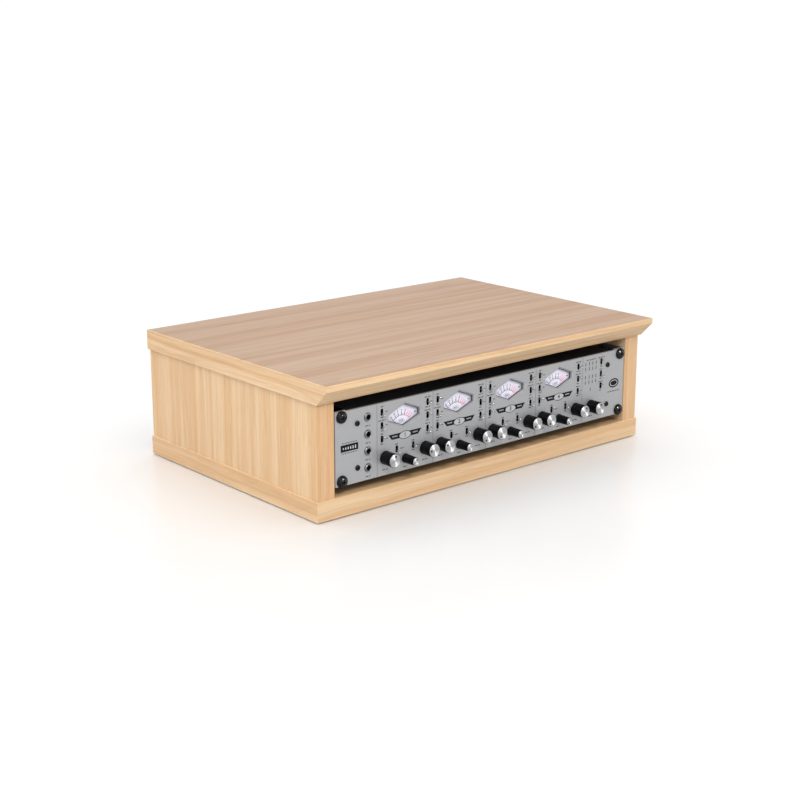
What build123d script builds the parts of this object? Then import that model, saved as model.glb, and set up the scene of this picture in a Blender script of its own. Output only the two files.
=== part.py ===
from build123d import *
import os
from math import cos, radians, sin

# Four-channel rack preamplifier and compressor, bolted into a wooden desktop housing.
# Millimetres. X runs to the right, Y to the rear, Z up. The origin is on the floor, at the
# centre of the housing's footprint, and the front panel faces -Y.

# ---- Housing --------------------------------------------------------------------------
PAD_HEIGHT = 1.5
BOARD = 24.0
TOP_WIDTH, TOP_DEPTH, TOP_THICK = 540.0, 370.0, 25.0
TOP_BEVEL = 18.0  # height and depth of the slope under the top's front edge
BASE_WIDTH, BASE_DEPTH = 538.0, 350.0
INNER_WIDTH, INNER_HEIGHT = 486.5, 114.5
SIDE_SETBACK = 1.5  # the sides stand this far inside the base, front and rear
EDGE = 0.6  # softened edges of the boards

# ---- 19 inch, 2U unit -----------------------------------------------------------------
PANEL_WIDTH, PANEL_HEIGHT, PANEL_THICK = 482.6, 88.1, 3.0
PANEL_LIFT = 11.6  # gap between the base and the panel's lower edge
RACK_HOLE_X, RACK_HOLE_Z = 465.1, 76.2
SHEET = 1.5
CHASSIS_WIDTH, CHASSIS_HEIGHT, CHASSIS_DEPTH = 438.0, 86.0, 302.0
GAP = 0.05  # assembly clearance round fixed pieces that sit in holes

# ---- Panel layout, measured from the panel's centre line and its top edge ---------------
CHANNEL_PITCH = 85.85
CHANNEL_X = [-138.1 + CHANNEL_PITCH * i for i in range(4)]
METER_DROP, METER_HALF_WIDTH, METER_HALF_HEIGHT, METER_SIDE = 20.5, 24.3, 13.9, 4.0
KNOB_PAIR_X, KNOB_PAIR_DROP, SMALL_KNOB_DROP = 30.5, 66.3, 73.2
MASTER_X, MASTER_KNOB_DROP, MASTER_TOGGLE_X = 178.8, 67.4, 197.5
TOGGLE_SIDE_X, TOGGLE_LOW_X = 35.0, 12.6
TOGGLE_DROPS = [11.0, 27.1, 43.3]
TOGGLE_LOW_DROP = 59.5
JACK_X, JACK_DROPS = -194.2, [12.9, 33.1, 53.3, 73.5]
PANEL_SCREW_X, PANEL_SCREW_DROPS = 209.65, [17.4, 70.4]

# ---- Controls ---------------------------------------------------------------------------
TOGGLE_SLOT_WIDTH, TOGGLE_SLOT_HEIGHT = 3.2, 8.0
TOGGLE_PIVOT_DEPTH, TOGGLE_REACH, TOGGLE_THROW = 7.0, 6.8, 14.0
TOGGLE_BODY, TOGGLE_HOLLOW = (5.2, 9.0, 10.4), (2.8, 6.0, 8.4)  # width, depth, height
KNOB_GAP = 0.7
JACK_BUSHING_RADIUS, JACK_NUT_RADIUS, JACK_BORE = 4.2, 5.3, 3.2
JACK_BUSHING_PROUD, JACK_NUT_THICK, JACK_BODY, JACK_BORE_DEPTH = 1.6, 1.2, (12.0, 15.0, 22.0), 26.1
KNOB_SIZES = ("base", "cap", "height", "shaft", "bushing", "nut", "dot", "dot_radius")
LARGE_KNOB = dict(zip(KNOB_SIZES, (8.25, 7.9, 18.0, 3.0, 4.2, 6.0, 4.9, 1.15)))
SMALL_KNOB = dict(zip(KNOB_SIZES, (5.75, 4.6, 20.0, 1.6, 2.6, 4.1, 2.4, 0.9)))
CAP_THICK, CAP_RISE, CAP_EDGE, CAP_RIM, DOT_DEPTH = 1.2, 0.35, 0.3, 0.35, 0.5
SKIRT_HEIGHT, SKIRT_STEP, KNOB_HOLLOW = 2.0, 0.25, 2.0
NEEDLE_PIVOT_DROP, NEEDLE_LENGTH, NEEDLE_REST = 38.5, 21.0, -46.0
NEEDLE_TAIL, NEEDLE_HALF_TAIL, NEEDLE_HALF_TIP = 5.0, 0.35, 0.15
DIAL_DEPTH = 6.9

# ---- Fasteners and joinery ----------------------------------------------------------------
SCREW_Y = [-108.0, 10.0, 150.0]
SCREW_HEAD_RADIUS, SCREW_HEAD_HEIGHT, SCREW_RADIUS, SCREW_LENGTH = 4.9, 3.0, 3.2, 66.0
SCREW_SINK = 1.0  # the heads lie this far up inside the base
SCREW_KEY, SCREW_KEY_DEPTH = 2.4, 2.0
CAM_Y = [-85.0, 40.0, 140.0]
CAM_RADIUS, CAM_DEPTH, CAM_DROP = 7.5, 12.5, 34.0
CAM_BOLT_RADIUS, CAM_THREAD_RADIUS, CAM_THREAD_LENGTH = 3.4, 2.4, 11.0
CAM_CROSS, CAM_CROSS_DEPTH = (9.0, 1.4), 2.0
PAD_RADIUS, PAD_X, PAD_Y = 12.0, 235.0, (-135.0, 155.0)
RAIL_SHEET, RAIL_FLANGE, RAIL_LEG = 2.0, 19.0, 42.0
RAIL_SCREW_RADIUS, RAIL_SCREW_LENGTH, RAIL_SCREW_HEAD, RAIL_HEAD_HEIGHT = 1.9, 14.0, 4.0, 2.2
RAIL_SCREW_SETBACK, RAIL_SCREW_SHARES = 26.0, (0.12, 0.5, 0.88)  # shares of the rail's height
RAIL_CROSS, RAIL_CROSS_DEPTH = (4.4, 1.0), 1.4
RACK_SCREW_RADIUS, RACK_SCREW_LENGTH, RACK_HOLE_PLAY = 2.9, 18.0, 0.4
RACK_HEAD_INSET, RACK_HEAD_CROWN, RACK_CROSS, RACK_CROSS_DEPTH = 0.2, 1.8, (6.0, 1.3), 2.0
CUP_RADIUS, CUP_MOUTH, CUP_HEIGHT = 7.3, 5.6, 2.8
CUP_FLAT, CUP_ROLL, CUP_LIP = 0.8, 0.5, 0.6
PANEL_SCREW_RADIUS, PANEL_SCREW_HEAD, PANEL_HEAD_HEIGHT = 1.9, 3.35, 1.7
PANEL_SCREW_LENGTH, PANEL_SCREW_ROUND, PANEL_SCREW_KEY, PANEL_KEY_DEPTH = 7.5, 1.1, 1.3, 1.2

# ---- Sockets at the rear ------------------------------------------------------------------
COVER_LIP, COVER_LIP_INSET = 14.0, 40.0
VENT_LENGTH, VENT_WIDTH = 34.0, 3.2
VENT_PITCH, VENT_ROWS_APART, VENT_COUNT = 9.0, 50.0, 12
SOCKET_FLANGE_THICK, SOCKET_CORNER = 2.0, 2.0
MIC_X = [-175.0 + 42.0 * i for i in range(4)]
MIC_BODY_RADIUS, MIC_FLANGE, MIC_BODY_BEHIND, MIC_PROUD = 11.6, (26.0, 31.0), 20.0, 3.0
MIC_PIN_RADIUS, MIC_PIN_DEPTH, MIC_PINS = 1.3, 15.0, [(-4.4, -1.2), (4.4, -1.2), (0.0, -4.6)]
MULTI_X = [15.0, 82.0]
MULTI_BODY, MULTI_FLANGE, MULTI_SHELL = (40.0, 9.5, 12.0), (53.0, 12.6), (38.0, 8.2, 5.6)
MULTI_PIN_RADIUS, MULTI_PIN_PITCH, MULTI_PIN_ROW, MULTI_PIN_DEPTH = 0.55, 2.77, 1.4, 4.0
INLET_X, INLET_CUT, INLET_FLANGE, INLET_SHELL = 175.0, (27.6, 20.0), (50.0, 27.0, 2.4), (24.4, 16.6)
INLET_DEPTH, INLET_HOLLOW, INLET_CORNER = 18.0, 16.0, 6.0
INLET_PINS, INLET_PIN, INLET_PIN_LENGTH = [(0.0, 2.0), (-7.0, -2.0), (7.0, -2.0)], (2.0, 4.0), 11.0

# ---- Inside the unit ----------------------------------------------------------------------
TRANSFORMER_X, TRANSFORMER_Y = 130.0, 58.0
TRANSFORMER_RADIUS, TRANSFORMER_CORE, TRANSFORMER_HEIGHT = 46.0, 14.0, 44.0
TRANSFORMER_ROUND, CLAMP_BOLT, CLAMP_RADIUS, CLAMP_THICK, CLAMP_BOLT_PROUD = 6.0, 4.0, 26.0, 2.0, 6.0
BOARD_THICK, STANDOFF, STANDOFF_RADIUS = 1.6, 8.0, 3.0
CAPACITOR_RADIUS, CAPACITOR_HEIGHT, CAPACITOR_BACK, CAPACITOR_GRID = 6.5, 26.0, 62.0, (30.0, 20.0, 8, 2)
VALVE_RADIUS, VALVE_HEIGHT, VALVE_ROUND, VALVE_GRID = 10.5, 46.0, 6.0, (62.0, 1.0, 4, 1)
POT_WIDTHS, POT_BUSHING_PROUD, POT_NUT_THICK, POT_SHAFT_DEPTH = (13.0, 9.5), 1.8, 1.5, 8.0
SHAFT_END = 6.0  # how far the shafts reach behind the chassis wall
SHAFT_IN_KNOB = 1.0  # how far the shafts run into the knobs' solid cores
BODY_CORNER = 1.0
SHAFT_PLAY = 0.05  # running clearance of every shaft, pin and hub
LEVER_PIN_RADIUS, LEVER_PIN_LENGTH, LEVER_BALL = 0.5, 4.2, 1.1
LEVER_NECK, LEVER_TIP = 0.8, 1.35
METER_CASE, METER_CASE_DROP = (54.0, 41.0, 20.0), 24.8
METER_WALL, METER_LEDGE, METER_CORNER = 1.4, 2.5, 2.0
POST_RADIUS, POST_LENGTH, DIAL_PLAY, HUB_PLAY, HUB_END = 2.4, 6.0, 0.1, 0.4, 1.0
WINDOW_THICK, DIAL_THICK, NEEDLE_THICK, HUB_RADIUS = 0.8, 0.8, 0.3, 1.2
MOVEMENT_DEPTH = 11.0  # the space behind the dial

# ---- Worked out -------------------------------------------------------------------------
BASE_BOTTOM = PAD_HEIGHT
BASE_TOP = BASE_BOTTOM + BOARD
TOP_BOTTOM = BASE_TOP + INNER_HEIGHT
TOP_TOP = TOP_BOTTOM + TOP_THICK
TOP_FRONT, REAR = -TOP_DEPTH / 2, TOP_DEPTH / 2
BASE_FRONT = REAR - BASE_DEPTH
SIDE_FRONT, SIDE_REAR = BASE_FRONT + SIDE_SETBACK, REAR - SIDE_SETBACK
SIDE_X = INNER_WIDTH / 2 + BOARD / 2
PANEL_REACH = -SIDE_FRONT  # the panel's face is flush with the sides' front edges
PANEL_BOTTOM = BASE_TOP + PANEL_LIFT
PANEL_TOP = PANEL_BOTTOM + PANEL_HEIGHT
CHASSIS_BOTTOM = PANEL_BOTTOM + (PANEL_HEIGHT - CHASSIS_HEIGHT) / 2
CHASSIS_TOP = CHASSIS_BOTTOM + CHASSIS_HEIGHT
CHASSIS_FRONT = -PANEL_REACH + PANEL_THICK
CHASSIS_REAR = CHASSIS_FRONT + CHASSIS_DEPTH
WALL_DEPTH = PANEL_THICK + SHEET  # the back of the chassis front wall, behind the panel's face
FLOOR = CHASSIS_BOTTOM + SHEET
CAM_Z = TOP_BOTTOM - CAM_DROP
RAIL_BOTTOM, RAIL_HEIGHT = PANEL_BOTTOM - 0.5, PANEL_HEIGHT + 1.0
SOCKET_Z = PANEL_BOTTOM + PANEL_HEIGHT / 2
FRONT_BOARD_DEPTH = WALL_DEPTH + TOGGLE_BODY[1]
NEEDLE_DEPTH = DIAL_DEPTH - 1.0

os.makedirs("parts", exist_ok=True)


def facing(depth=0.0):
    """The plane depth behind the panel's face. Its sketches are in X and Z, seen from the front."""
    return Plane.XZ.offset(PANEL_REACH - depth)


def at(x, drop):
    """A place on the panel, from the centre line and down from the top edge."""
    return (x, PANEL_TOP - drop)


def save(name, piece):
    """Label one finished piece and write its STEP file."""
    piece.label = name
    export_step(piece, f"parts/{name}.step")


# ---- Lists of what repeats --------------------------------------------------------------
METER_PLACES = [at(x, METER_DROP) for x in CHANNEL_X]
JACK_PLACES = [at(JACK_X, drop) for drop in JACK_DROPS]
RACK_HOLES = [
    (side * RACK_HOLE_X / 2, PANEL_BOTTOM + PANEL_HEIGHT / 2 + end * RACK_HOLE_Z / 2)
    for side in (-1, 1)
    for end in (-1, 1)
]
PANEL_SCREWS = [at(side * PANEL_SCREW_X, drop) for side in (-1, 1) for drop in PANEL_SCREW_DROPS]

UP, CENTRE, DOWN = TOGGLE_THROW, 0.0, -TOGGLE_THROW


def column(offset, drop, channels):
    """The places of one switch position on the given channels, numbered from 1."""
    return [at(CHANNEL_X[n - 1] + offset, drop) for n in channels]


# Levers that share a row, and so a hinge line, and also a rest position are one piece.
LEVERS = {
    "levers_left_upper_ch1_ch3": (column(-TOGGLE_SIDE_X, TOGGLE_DROPS[0], (1, 3)), DOWN),
    "levers_left_upper_ch2_ch4": (column(-TOGGLE_SIDE_X, TOGGLE_DROPS[0], (2, 4)), UP),
    "levers_left_middle_ch1_ch2": (column(-TOGGLE_SIDE_X, TOGGLE_DROPS[1], (1, 2)), DOWN),
    "levers_left_middle_ch3_ch4": (column(-TOGGLE_SIDE_X, TOGGLE_DROPS[1], (3, 4)), DOWN),
    "levers_left_lower_ch1_ch2": (column(-TOGGLE_SIDE_X, TOGGLE_DROPS[2], (1, 2)), UP),
    "levers_left_lower_ch3_ch4": (column(-TOGGLE_SIDE_X, TOGGLE_DROPS[2], (3, 4)), UP),
    "levers_right_upper_all": (column(TOGGLE_SIDE_X, TOGGLE_DROPS[0], (1, 2, 3, 4)), CENTRE),
    "levers_right_middle_ch1_ch2": (column(TOGGLE_SIDE_X, TOGGLE_DROPS[1], (1, 2)), UP),
    "levers_right_middle_ch3_ch4": (column(TOGGLE_SIDE_X, TOGGLE_DROPS[1], (3, 4)), UP),
    "levers_right_lower_ch1_ch2": (column(TOGGLE_SIDE_X, TOGGLE_DROPS[2], (1, 2)), DOWN),
    "levers_right_lower_ch3_ch4": (column(TOGGLE_SIDE_X, TOGGLE_DROPS[2], (3, 4)), DOWN),
    "levers_bottom_left_ch1_ch3": (column(-TOGGLE_LOW_X, TOGGLE_LOW_DROP, (1, 3)), DOWN),
    "levers_bottom_left_ch2_ch4": (column(-TOGGLE_LOW_X, TOGGLE_LOW_DROP, (2, 4)), UP),
    "levers_bottom_right_all": (column(TOGGLE_LOW_X, TOGGLE_LOW_DROP, (1, 2, 3, 4)), CENTRE),
    "lever_master_upper": ([at(MASTER_TOGGLE_X, TOGGLE_DROPS[0])], UP),
    "lever_master_middle": ([at(MASTER_TOGGLE_X, TOGGLE_DROPS[1])], DOWN),
    "lever_master_lower": ([at(MASTER_TOGGLE_X, TOGGLE_DROPS[2])], UP),
}
TOGGLE_PLACES = [place for places, rest in LEVERS.values() for place in places]

# Each knob's place, its sizes, and the clock angle of its dot, in degrees from straight up.
GAIN_DOTS = [15.0, -60.0, -150.0, -150.0]
TRIM_DOTS = [24.0, -172.0, -172.0, -172.0]
LEVEL_DOTS = [-88.0, -150.0, -130.0, 36.0]
KNOBS = {"knob_master": (at(MASTER_X, MASTER_KNOB_DROP), LARGE_KNOB, 14.0)}
for n, x in enumerate(CHANNEL_X):
    KNOBS[f"knob_gain_ch{n + 1}"] = (at(x - KNOB_PAIR_X, KNOB_PAIR_DROP), LARGE_KNOB, GAIN_DOTS[n])
    KNOBS[f"knob_trim_ch{n + 1}"] = (at(x, SMALL_KNOB_DROP), SMALL_KNOB, TRIM_DOTS[n])
    KNOBS[f"knob_level_ch{n + 1}"] = (at(x + KNOB_PAIR_X, KNOB_PAIR_DROP), LARGE_KNOB, LEVEL_DOTS[n])


def meter_outline(margin=0.0):
    """The meter window's long hexagon, grown by margin, as corners round its own centre."""
    w, h, s = METER_HALF_WIDTH + margin, METER_HALF_HEIGHT + margin, METER_SIDE + margin / 2
    return [(0, h), (-w, s), (-w, -s), (0, -h), (w, -s), (w, s)]


# ---- Wooden housing ---------------------------------------------------------------------


def cabinet_top():
    profile = [
        (TOP_FRONT, TOP_TOP),
        (TOP_FRONT, TOP_BOTTOM + TOP_BEVEL),
        (TOP_FRONT + TOP_BEVEL, TOP_BOTTOM),
        (REAR, TOP_BOTTOM),
        (REAR, TOP_TOP),
    ]
    with BuildPart() as top:
        with BuildSketch(Plane.YZ.offset(-TOP_WIDTH / 2)):
            with BuildLine():
                Polyline(*profile, close=True)
            make_face()
        extrude(amount=TOP_WIDTH)
        chamfer(top.edges().group_by(Axis.Z)[-1], EDGE)
        with BuildSketch(Plane.XY.offset(TOP_BOTTOM)):
            with Locations(*[(side * SIDE_X, y) for side in (-1, 1) for y in CAM_Y]):
                Circle(CAM_THREAD_RADIUS + GAP)
        extrude(amount=CAM_THREAD_LENGTH + GAP, mode=Mode.SUBTRACT)
    return top.part


def cabinet_base():
    with BuildPart() as base:
        with BuildSketch(Plane.XY.offset(BASE_BOTTOM)):
            with Locations((0, (BASE_FRONT + REAR) / 2)):
                Rectangle(BASE_WIDTH, BASE_DEPTH)
        extrude(amount=BOARD)
        chamfer(base.edges().group_by(Axis.Z)[-1], EDGE)
        places = [(side * SIDE_X, y) for side in (-1, 1) for y in SCREW_Y]
        with BuildSketch(Plane.XY.offset(BASE_BOTTOM)):
            with Locations(*places):
                Circle(SCREW_RADIUS + GAP)
        extrude(amount=BOARD, mode=Mode.SUBTRACT)
        with BuildSketch(Plane.XY.offset(BASE_BOTTOM)):
            with Locations(*places):
                Circle(SCREW_HEAD_RADIUS + GAP)
        extrude(amount=SCREW_SINK + SCREW_HEAD_HEIGHT, mode=Mode.SUBTRACT)
    return base.part


def cabinet_side(side):
    """One side board, with the screw holes in its foot and the cam pockets near its top edge."""
    inner = side * INNER_WIDTH / 2
    with BuildPart() as board:
        with BuildSketch(Plane.XY.offset(BASE_TOP)):
            with Locations((side * SIDE_X, (SIDE_FRONT + SIDE_REAR) / 2)):
                Rectangle(BOARD, SIDE_REAR - SIDE_FRONT)
        extrude(amount=INNER_HEIGHT)
        with BuildSketch(Plane.XY.offset(BASE_TOP)):
            with Locations(*[(side * SIDE_X, y) for y in SCREW_Y]):
                Circle(SCREW_RADIUS + GAP)
        extrude(amount=SCREW_SINK + SCREW_LENGTH - BOARD + GAP, mode=Mode.SUBTRACT)
        with BuildSketch(Plane.YZ.offset(inner)):
            with Locations(*[(y, CAM_Z) for y in CAM_Y]):
                Circle(CAM_RADIUS + GAP)
        extrude(amount=side * (CAM_DEPTH + GAP), mode=Mode.SUBTRACT)
        with BuildSketch(Plane.XY.offset(CAM_Z)):
            with Locations(*[(side * SIDE_X, y) for y in CAM_Y]):
                Circle(CAM_BOLT_RADIUS + GAP)
        extrude(amount=CAM_DROP, mode=Mode.SUBTRACT)
        with BuildSketch(Plane.YZ.offset(inner)):
            with Locations(*rail_screw_places()):
                Circle(RAIL_SCREW_RADIUS + GAP)
        extrude(amount=side * (RAIL_SCREW_LENGTH + GAP), mode=Mode.SUBTRACT)
    return board.part


def cabinet_screws():
    """Joinery screws, driven up through the base into the feet of the sides."""
    places = [(side * SIDE_X, y) for side in (-1, 1) for y in SCREW_Y]
    head_bottom = BASE_BOTTOM + SCREW_SINK
    with BuildPart() as screws:
        with BuildSketch(Plane.XY.offset(head_bottom)):
            with Locations(*places):
                Circle(SCREW_HEAD_RADIUS)
                RegularPolygon(SCREW_KEY, 6, mode=Mode.SUBTRACT)
        extrude(amount=SCREW_HEAD_HEIGHT)
        with BuildSketch(Plane.XY.offset(head_bottom + SCREW_KEY_DEPTH)):
            with Locations(*places):
                Circle(SCREW_RADIUS)
        extrude(amount=SCREW_LENGTH - SCREW_KEY_DEPTH)
    return screws.part


def cam_locks():
    """Cam discs in the sides' inner faces, and the bolts that they pull down from the top."""
    with BuildPart() as locks:
        for side in (-1, 1):
            with BuildSketch(Plane.YZ.offset(side * INNER_WIDTH / 2)):
                with Locations(*[(y, CAM_Z) for y in CAM_Y]):
                    Circle(CAM_RADIUS)
            extrude(amount=side * CAM_DEPTH)
            with BuildSketch(Plane.YZ.offset(side * INNER_WIDTH / 2)):
                with Locations(*[(y, CAM_Z) for y in CAM_Y]):
                    Rectangle(*CAM_CROSS)
                    Rectangle(*reversed(CAM_CROSS))
            extrude(amount=side * CAM_CROSS_DEPTH, mode=Mode.SUBTRACT)
        with BuildSketch(Plane.XY.offset(CAM_Z + CAM_RADIUS + 2 * GAP)):
            with Locations(*[(side * SIDE_X, y) for side in (-1, 1) for y in CAM_Y]):
                Circle(CAM_BOLT_RADIUS)
        extrude(amount=CAM_DROP - CAM_RADIUS - 2 * GAP)
        with BuildSketch(Plane.XY.offset(TOP_BOTTOM - GAP)):
            with Locations(*[(side * SIDE_X, y) for side in (-1, 1) for y in CAM_Y]):
                Circle(CAM_THREAD_RADIUS)
        extrude(amount=CAM_THREAD_LENGTH)
    return locks.part


def glide_pads():
    with BuildPart() as pads:
        with BuildSketch():
            with Locations(*[(side * PAD_X, y) for side in (-1, 1) for y in PAD_Y]):
                Circle(PAD_RADIUS)
        extrude(amount=PAD_HEIGHT)
    return pads.part


# ---- Rack rails -------------------------------------------------------------------------


def rail_screw_places():
    """Wood screws through the rails' side legs, as Y and Z."""
    y = CHASSIS_FRONT + RAIL_SCREW_SETBACK
    return [(y, RAIL_BOTTOM + RAIL_HEIGHT * share) for share in RAIL_SCREW_SHARES]


def rack_rails():
    with BuildPart() as rails:
        for side in (-1, 1):
            wall = side * INNER_WIDTH / 2
            corners = [
                (wall, CHASSIS_FRONT),
                (wall - side * RAIL_FLANGE, CHASSIS_FRONT),
                (wall - side * RAIL_FLANGE, CHASSIS_FRONT + RAIL_SHEET),
                (wall - side * RAIL_SHEET, CHASSIS_FRONT + RAIL_SHEET),
                (wall - side * RAIL_SHEET, CHASSIS_FRONT + RAIL_LEG),
                (wall, CHASSIS_FRONT + RAIL_LEG),
            ]
            with BuildSketch(Plane.XY.offset(RAIL_BOTTOM)):
                with BuildLine():
                    Polyline(*corners, close=True)
                make_face()
            extrude(amount=RAIL_HEIGHT)
            with BuildSketch(Plane.YZ.offset(wall)):
                with Locations(*rail_screw_places()):
                    Circle(RAIL_SCREW_RADIUS + GAP)
            extrude(amount=-side * RAIL_SHEET, mode=Mode.SUBTRACT)
        with BuildSketch(facing(PANEL_THICK)):
            with Locations(*RACK_HOLES):
                Circle(RACK_SCREW_RADIUS + GAP)
        extrude(amount=-RAIL_SHEET, mode=Mode.SUBTRACT)
    return rails.part


def rail_screws():
    with BuildPart() as screws:
        for side in (-1, 1):
            leg_face = side * (INNER_WIDTH / 2 - RAIL_SHEET)
            with BuildSketch(Plane.YZ.offset(leg_face)):
                with Locations(*rail_screw_places()):
                    Circle(RAIL_SCREW_HEAD)
            extrude(amount=-side * RAIL_HEAD_HEIGHT)
            with BuildSketch(Plane.YZ.offset(leg_face)):
                with Locations(*rail_screw_places()):
                    Circle(RAIL_SCREW_RADIUS)
            extrude(amount=side * (RAIL_SCREW_LENGTH + RAIL_SHEET))
            with BuildSketch(Plane.YZ.offset(leg_face - side * RAIL_HEAD_HEIGHT)):
                with Locations(*rail_screw_places()):
                    Rectangle(*RAIL_CROSS)
                    Rectangle(*reversed(RAIL_CROSS))
            extrude(amount=side * RAIL_CROSS_DEPTH, mode=Mode.SUBTRACT)
    return screws.part


def rack_screws():
    """Oval-headed rack screws with cross recesses, standing in their cup washers."""
    rim, crown = -PANEL_REACH - CUP_HEIGHT, -PANEL_REACH - CUP_HEIGHT - RACK_HEAD_CROWN
    tip, head = RACK_SCREW_LENGTH - PANEL_REACH, CUP_MOUTH - RACK_HEAD_INSET
    shoulder = (rim - RACK_HEAD_CROWN * 0.72, head / 2)  # a point halfway round the domed head
    with BuildPart() as screws:
        for x, z in RACK_HOLES:
            with BuildSketch(Plane.YZ.offset(x)):
                with BuildLine():
                    Polyline((crown, z), (tip, z), (tip, z + RACK_SCREW_RADIUS),
                             (-PANEL_REACH, z + RACK_SCREW_RADIUS), (rim, z + head))
                    ThreePointArc((rim, z + head), (shoulder[0], z + shoulder[1]), (crown, z))
                make_face()
            revolve(axis=Axis((x, 0, z), (0, 1, 0)))
        with BuildSketch(Plane.XZ.offset(-crown)):
            with Locations(*RACK_HOLES):
                Rectangle(*RACK_CROSS)
                Rectangle(*reversed(RACK_CROSS))
        extrude(amount=-RACK_CROSS_DEPTH, mode=Mode.SUBTRACT)
    return screws.part


def cup_washers():
    """Finishing washers: a rolled rim round a cone that the screw head seats in."""
    seat = RACK_SCREW_RADIUS + GAP
    front = -PANEL_REACH - CUP_HEIGHT
    with BuildPart() as washers:
        for x, z in RACK_HOLES:
            with BuildSketch(Plane.YZ.offset(x)):
                with BuildLine():
                    Polyline((front, z + CUP_MOUTH - GAP), (-PANEL_REACH, z + seat),
                             (-PANEL_REACH, z + CUP_RADIUS), (-PANEL_REACH - CUP_FLAT, z + CUP_RADIUS))
                    ThreePointArc((-PANEL_REACH - CUP_FLAT, z + CUP_RADIUS),
                                  (front + CUP_ROLL, z + CUP_RADIUS - CUP_ROLL),
                                  (front, z + CUP_MOUTH + CUP_LIP))
                    Line((front, z + CUP_MOUTH + CUP_LIP), (front, z + CUP_MOUTH - GAP))
                make_face()
            revolve(axis=Axis((x, 0, z), (0, 1, 0)))
    return washers.part


# ---- Front panel ------------------------------------------------------------------------


def cut_controls(play):
    """Sketch every control opening that passes through a front sheet, with play round it."""
    for kind in (LARGE_KNOB, SMALL_KNOB):
        with Locations(*[place for place, size, dot in KNOBS.values() if size is kind]):
            Circle(kind["bushing"] + play)
    with Locations(*JACK_PLACES):
        Circle(JACK_BUSHING_RADIUS + play)
    with Locations(*TOGGLE_PLACES):
        SlotOverall(TOGGLE_SLOT_HEIGHT, TOGGLE_SLOT_WIDTH, rotation=90)
    with Locations(*PANEL_SCREWS):
        Circle(PANEL_SCREW_RADIUS + play)
    with Locations(*METER_PLACES):
        Polygon(*meter_outline())


def front_panel():
    """The 2U face plate, with bevelled meter windows and every control opening."""
    bevel, corner, edge = 1.2, 1.2, 0.4
    with BuildPart() as panel:
        with BuildSketch(facing(PANEL_THICK)):
            with Locations((0, PANEL_BOTTOM + PANEL_HEIGHT / 2)):
                RectangleRounded(PANEL_WIDTH, PANEL_HEIGHT, corner)
        extrude(amount=PANEL_THICK)
        chamfer(panel.faces().sort_by(Axis.Y)[0].edges(), edge)
        with BuildSketch(facing(PANEL_THICK)):
            cut_controls(GAP)
            with Locations(*RACK_HOLES):
                Circle(RACK_SCREW_RADIUS + RACK_HOLE_PLAY)
        extrude(amount=PANEL_THICK, mode=Mode.SUBTRACT)
        for place in METER_PLACES:
            with BuildSketch(facing(bevel)):
                with Locations(place):
                    Polygon(*meter_outline())
            with BuildSketch(facing()):
                with Locations(place):
                    Polygon(*meter_outline(bevel))
            loft(mode=Mode.SUBTRACT)
    return panel.part


def panel_screws():
    """Button-headed screws that hold the panel to the chassis, with hexagon recesses."""
    with BuildPart() as screws:
        with BuildSketch(facing()):
            with Locations(*PANEL_SCREWS):
                Circle(PANEL_SCREW_HEAD)
        extrude(amount=PANEL_HEAD_HEIGHT)
        fillet(screws.faces().sort_by(Axis.Y)[: len(PANEL_SCREWS)].edges(), PANEL_SCREW_ROUND)
        with BuildSketch(facing(-PANEL_HEAD_HEIGHT)):
            with Locations(*PANEL_SCREWS):
                RegularPolygon(PANEL_SCREW_KEY, 6)
        extrude(amount=-PANEL_KEY_DEPTH, mode=Mode.SUBTRACT)
        with BuildSketch(facing()):
            with Locations(*PANEL_SCREWS):
                Circle(PANEL_SCREW_RADIUS)
        extrude(amount=-PANEL_SCREW_LENGTH)
    return screws.part


# ---- Chassis ----------------------------------------------------------------------------


def chassis_tray():
    """Folded steel tray, and the front wall with the control openings that closes it."""
    middle_y = (CHASSIS_FRONT + CHASSIS_REAR + SHEET) / 2
    depth = CHASSIS_DEPTH - SHEET
    wall_height = CHASSIS_HEIGHT - SHEET
    with BuildPart() as tray:
        with BuildSketch(Plane.XY.offset(CHASSIS_BOTTOM)):
            with Locations((0, middle_y)):
                Rectangle(CHASSIS_WIDTH, depth)
        extrude(amount=wall_height)
        with BuildSketch(Plane.XY.offset(FLOOR)):
            with Locations((0, middle_y)):
                Rectangle(CHASSIS_WIDTH - 2 * SHEET, depth)
        extrude(amount=wall_height - SHEET, mode=Mode.SUBTRACT)
    with BuildPart() as wall:
        with BuildSketch(facing(WALL_DEPTH)):
            with Locations((0, CHASSIS_BOTTOM + wall_height / 2)):
                Rectangle(CHASSIS_WIDTH, wall_height)
        extrude(amount=SHEET)
        with BuildSketch(facing(WALL_DEPTH)):
            cut_controls(GAP)
        extrude(amount=SHEET, mode=Mode.SUBTRACT)
    return Compound(children=[tray.part, wall.part])


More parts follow.
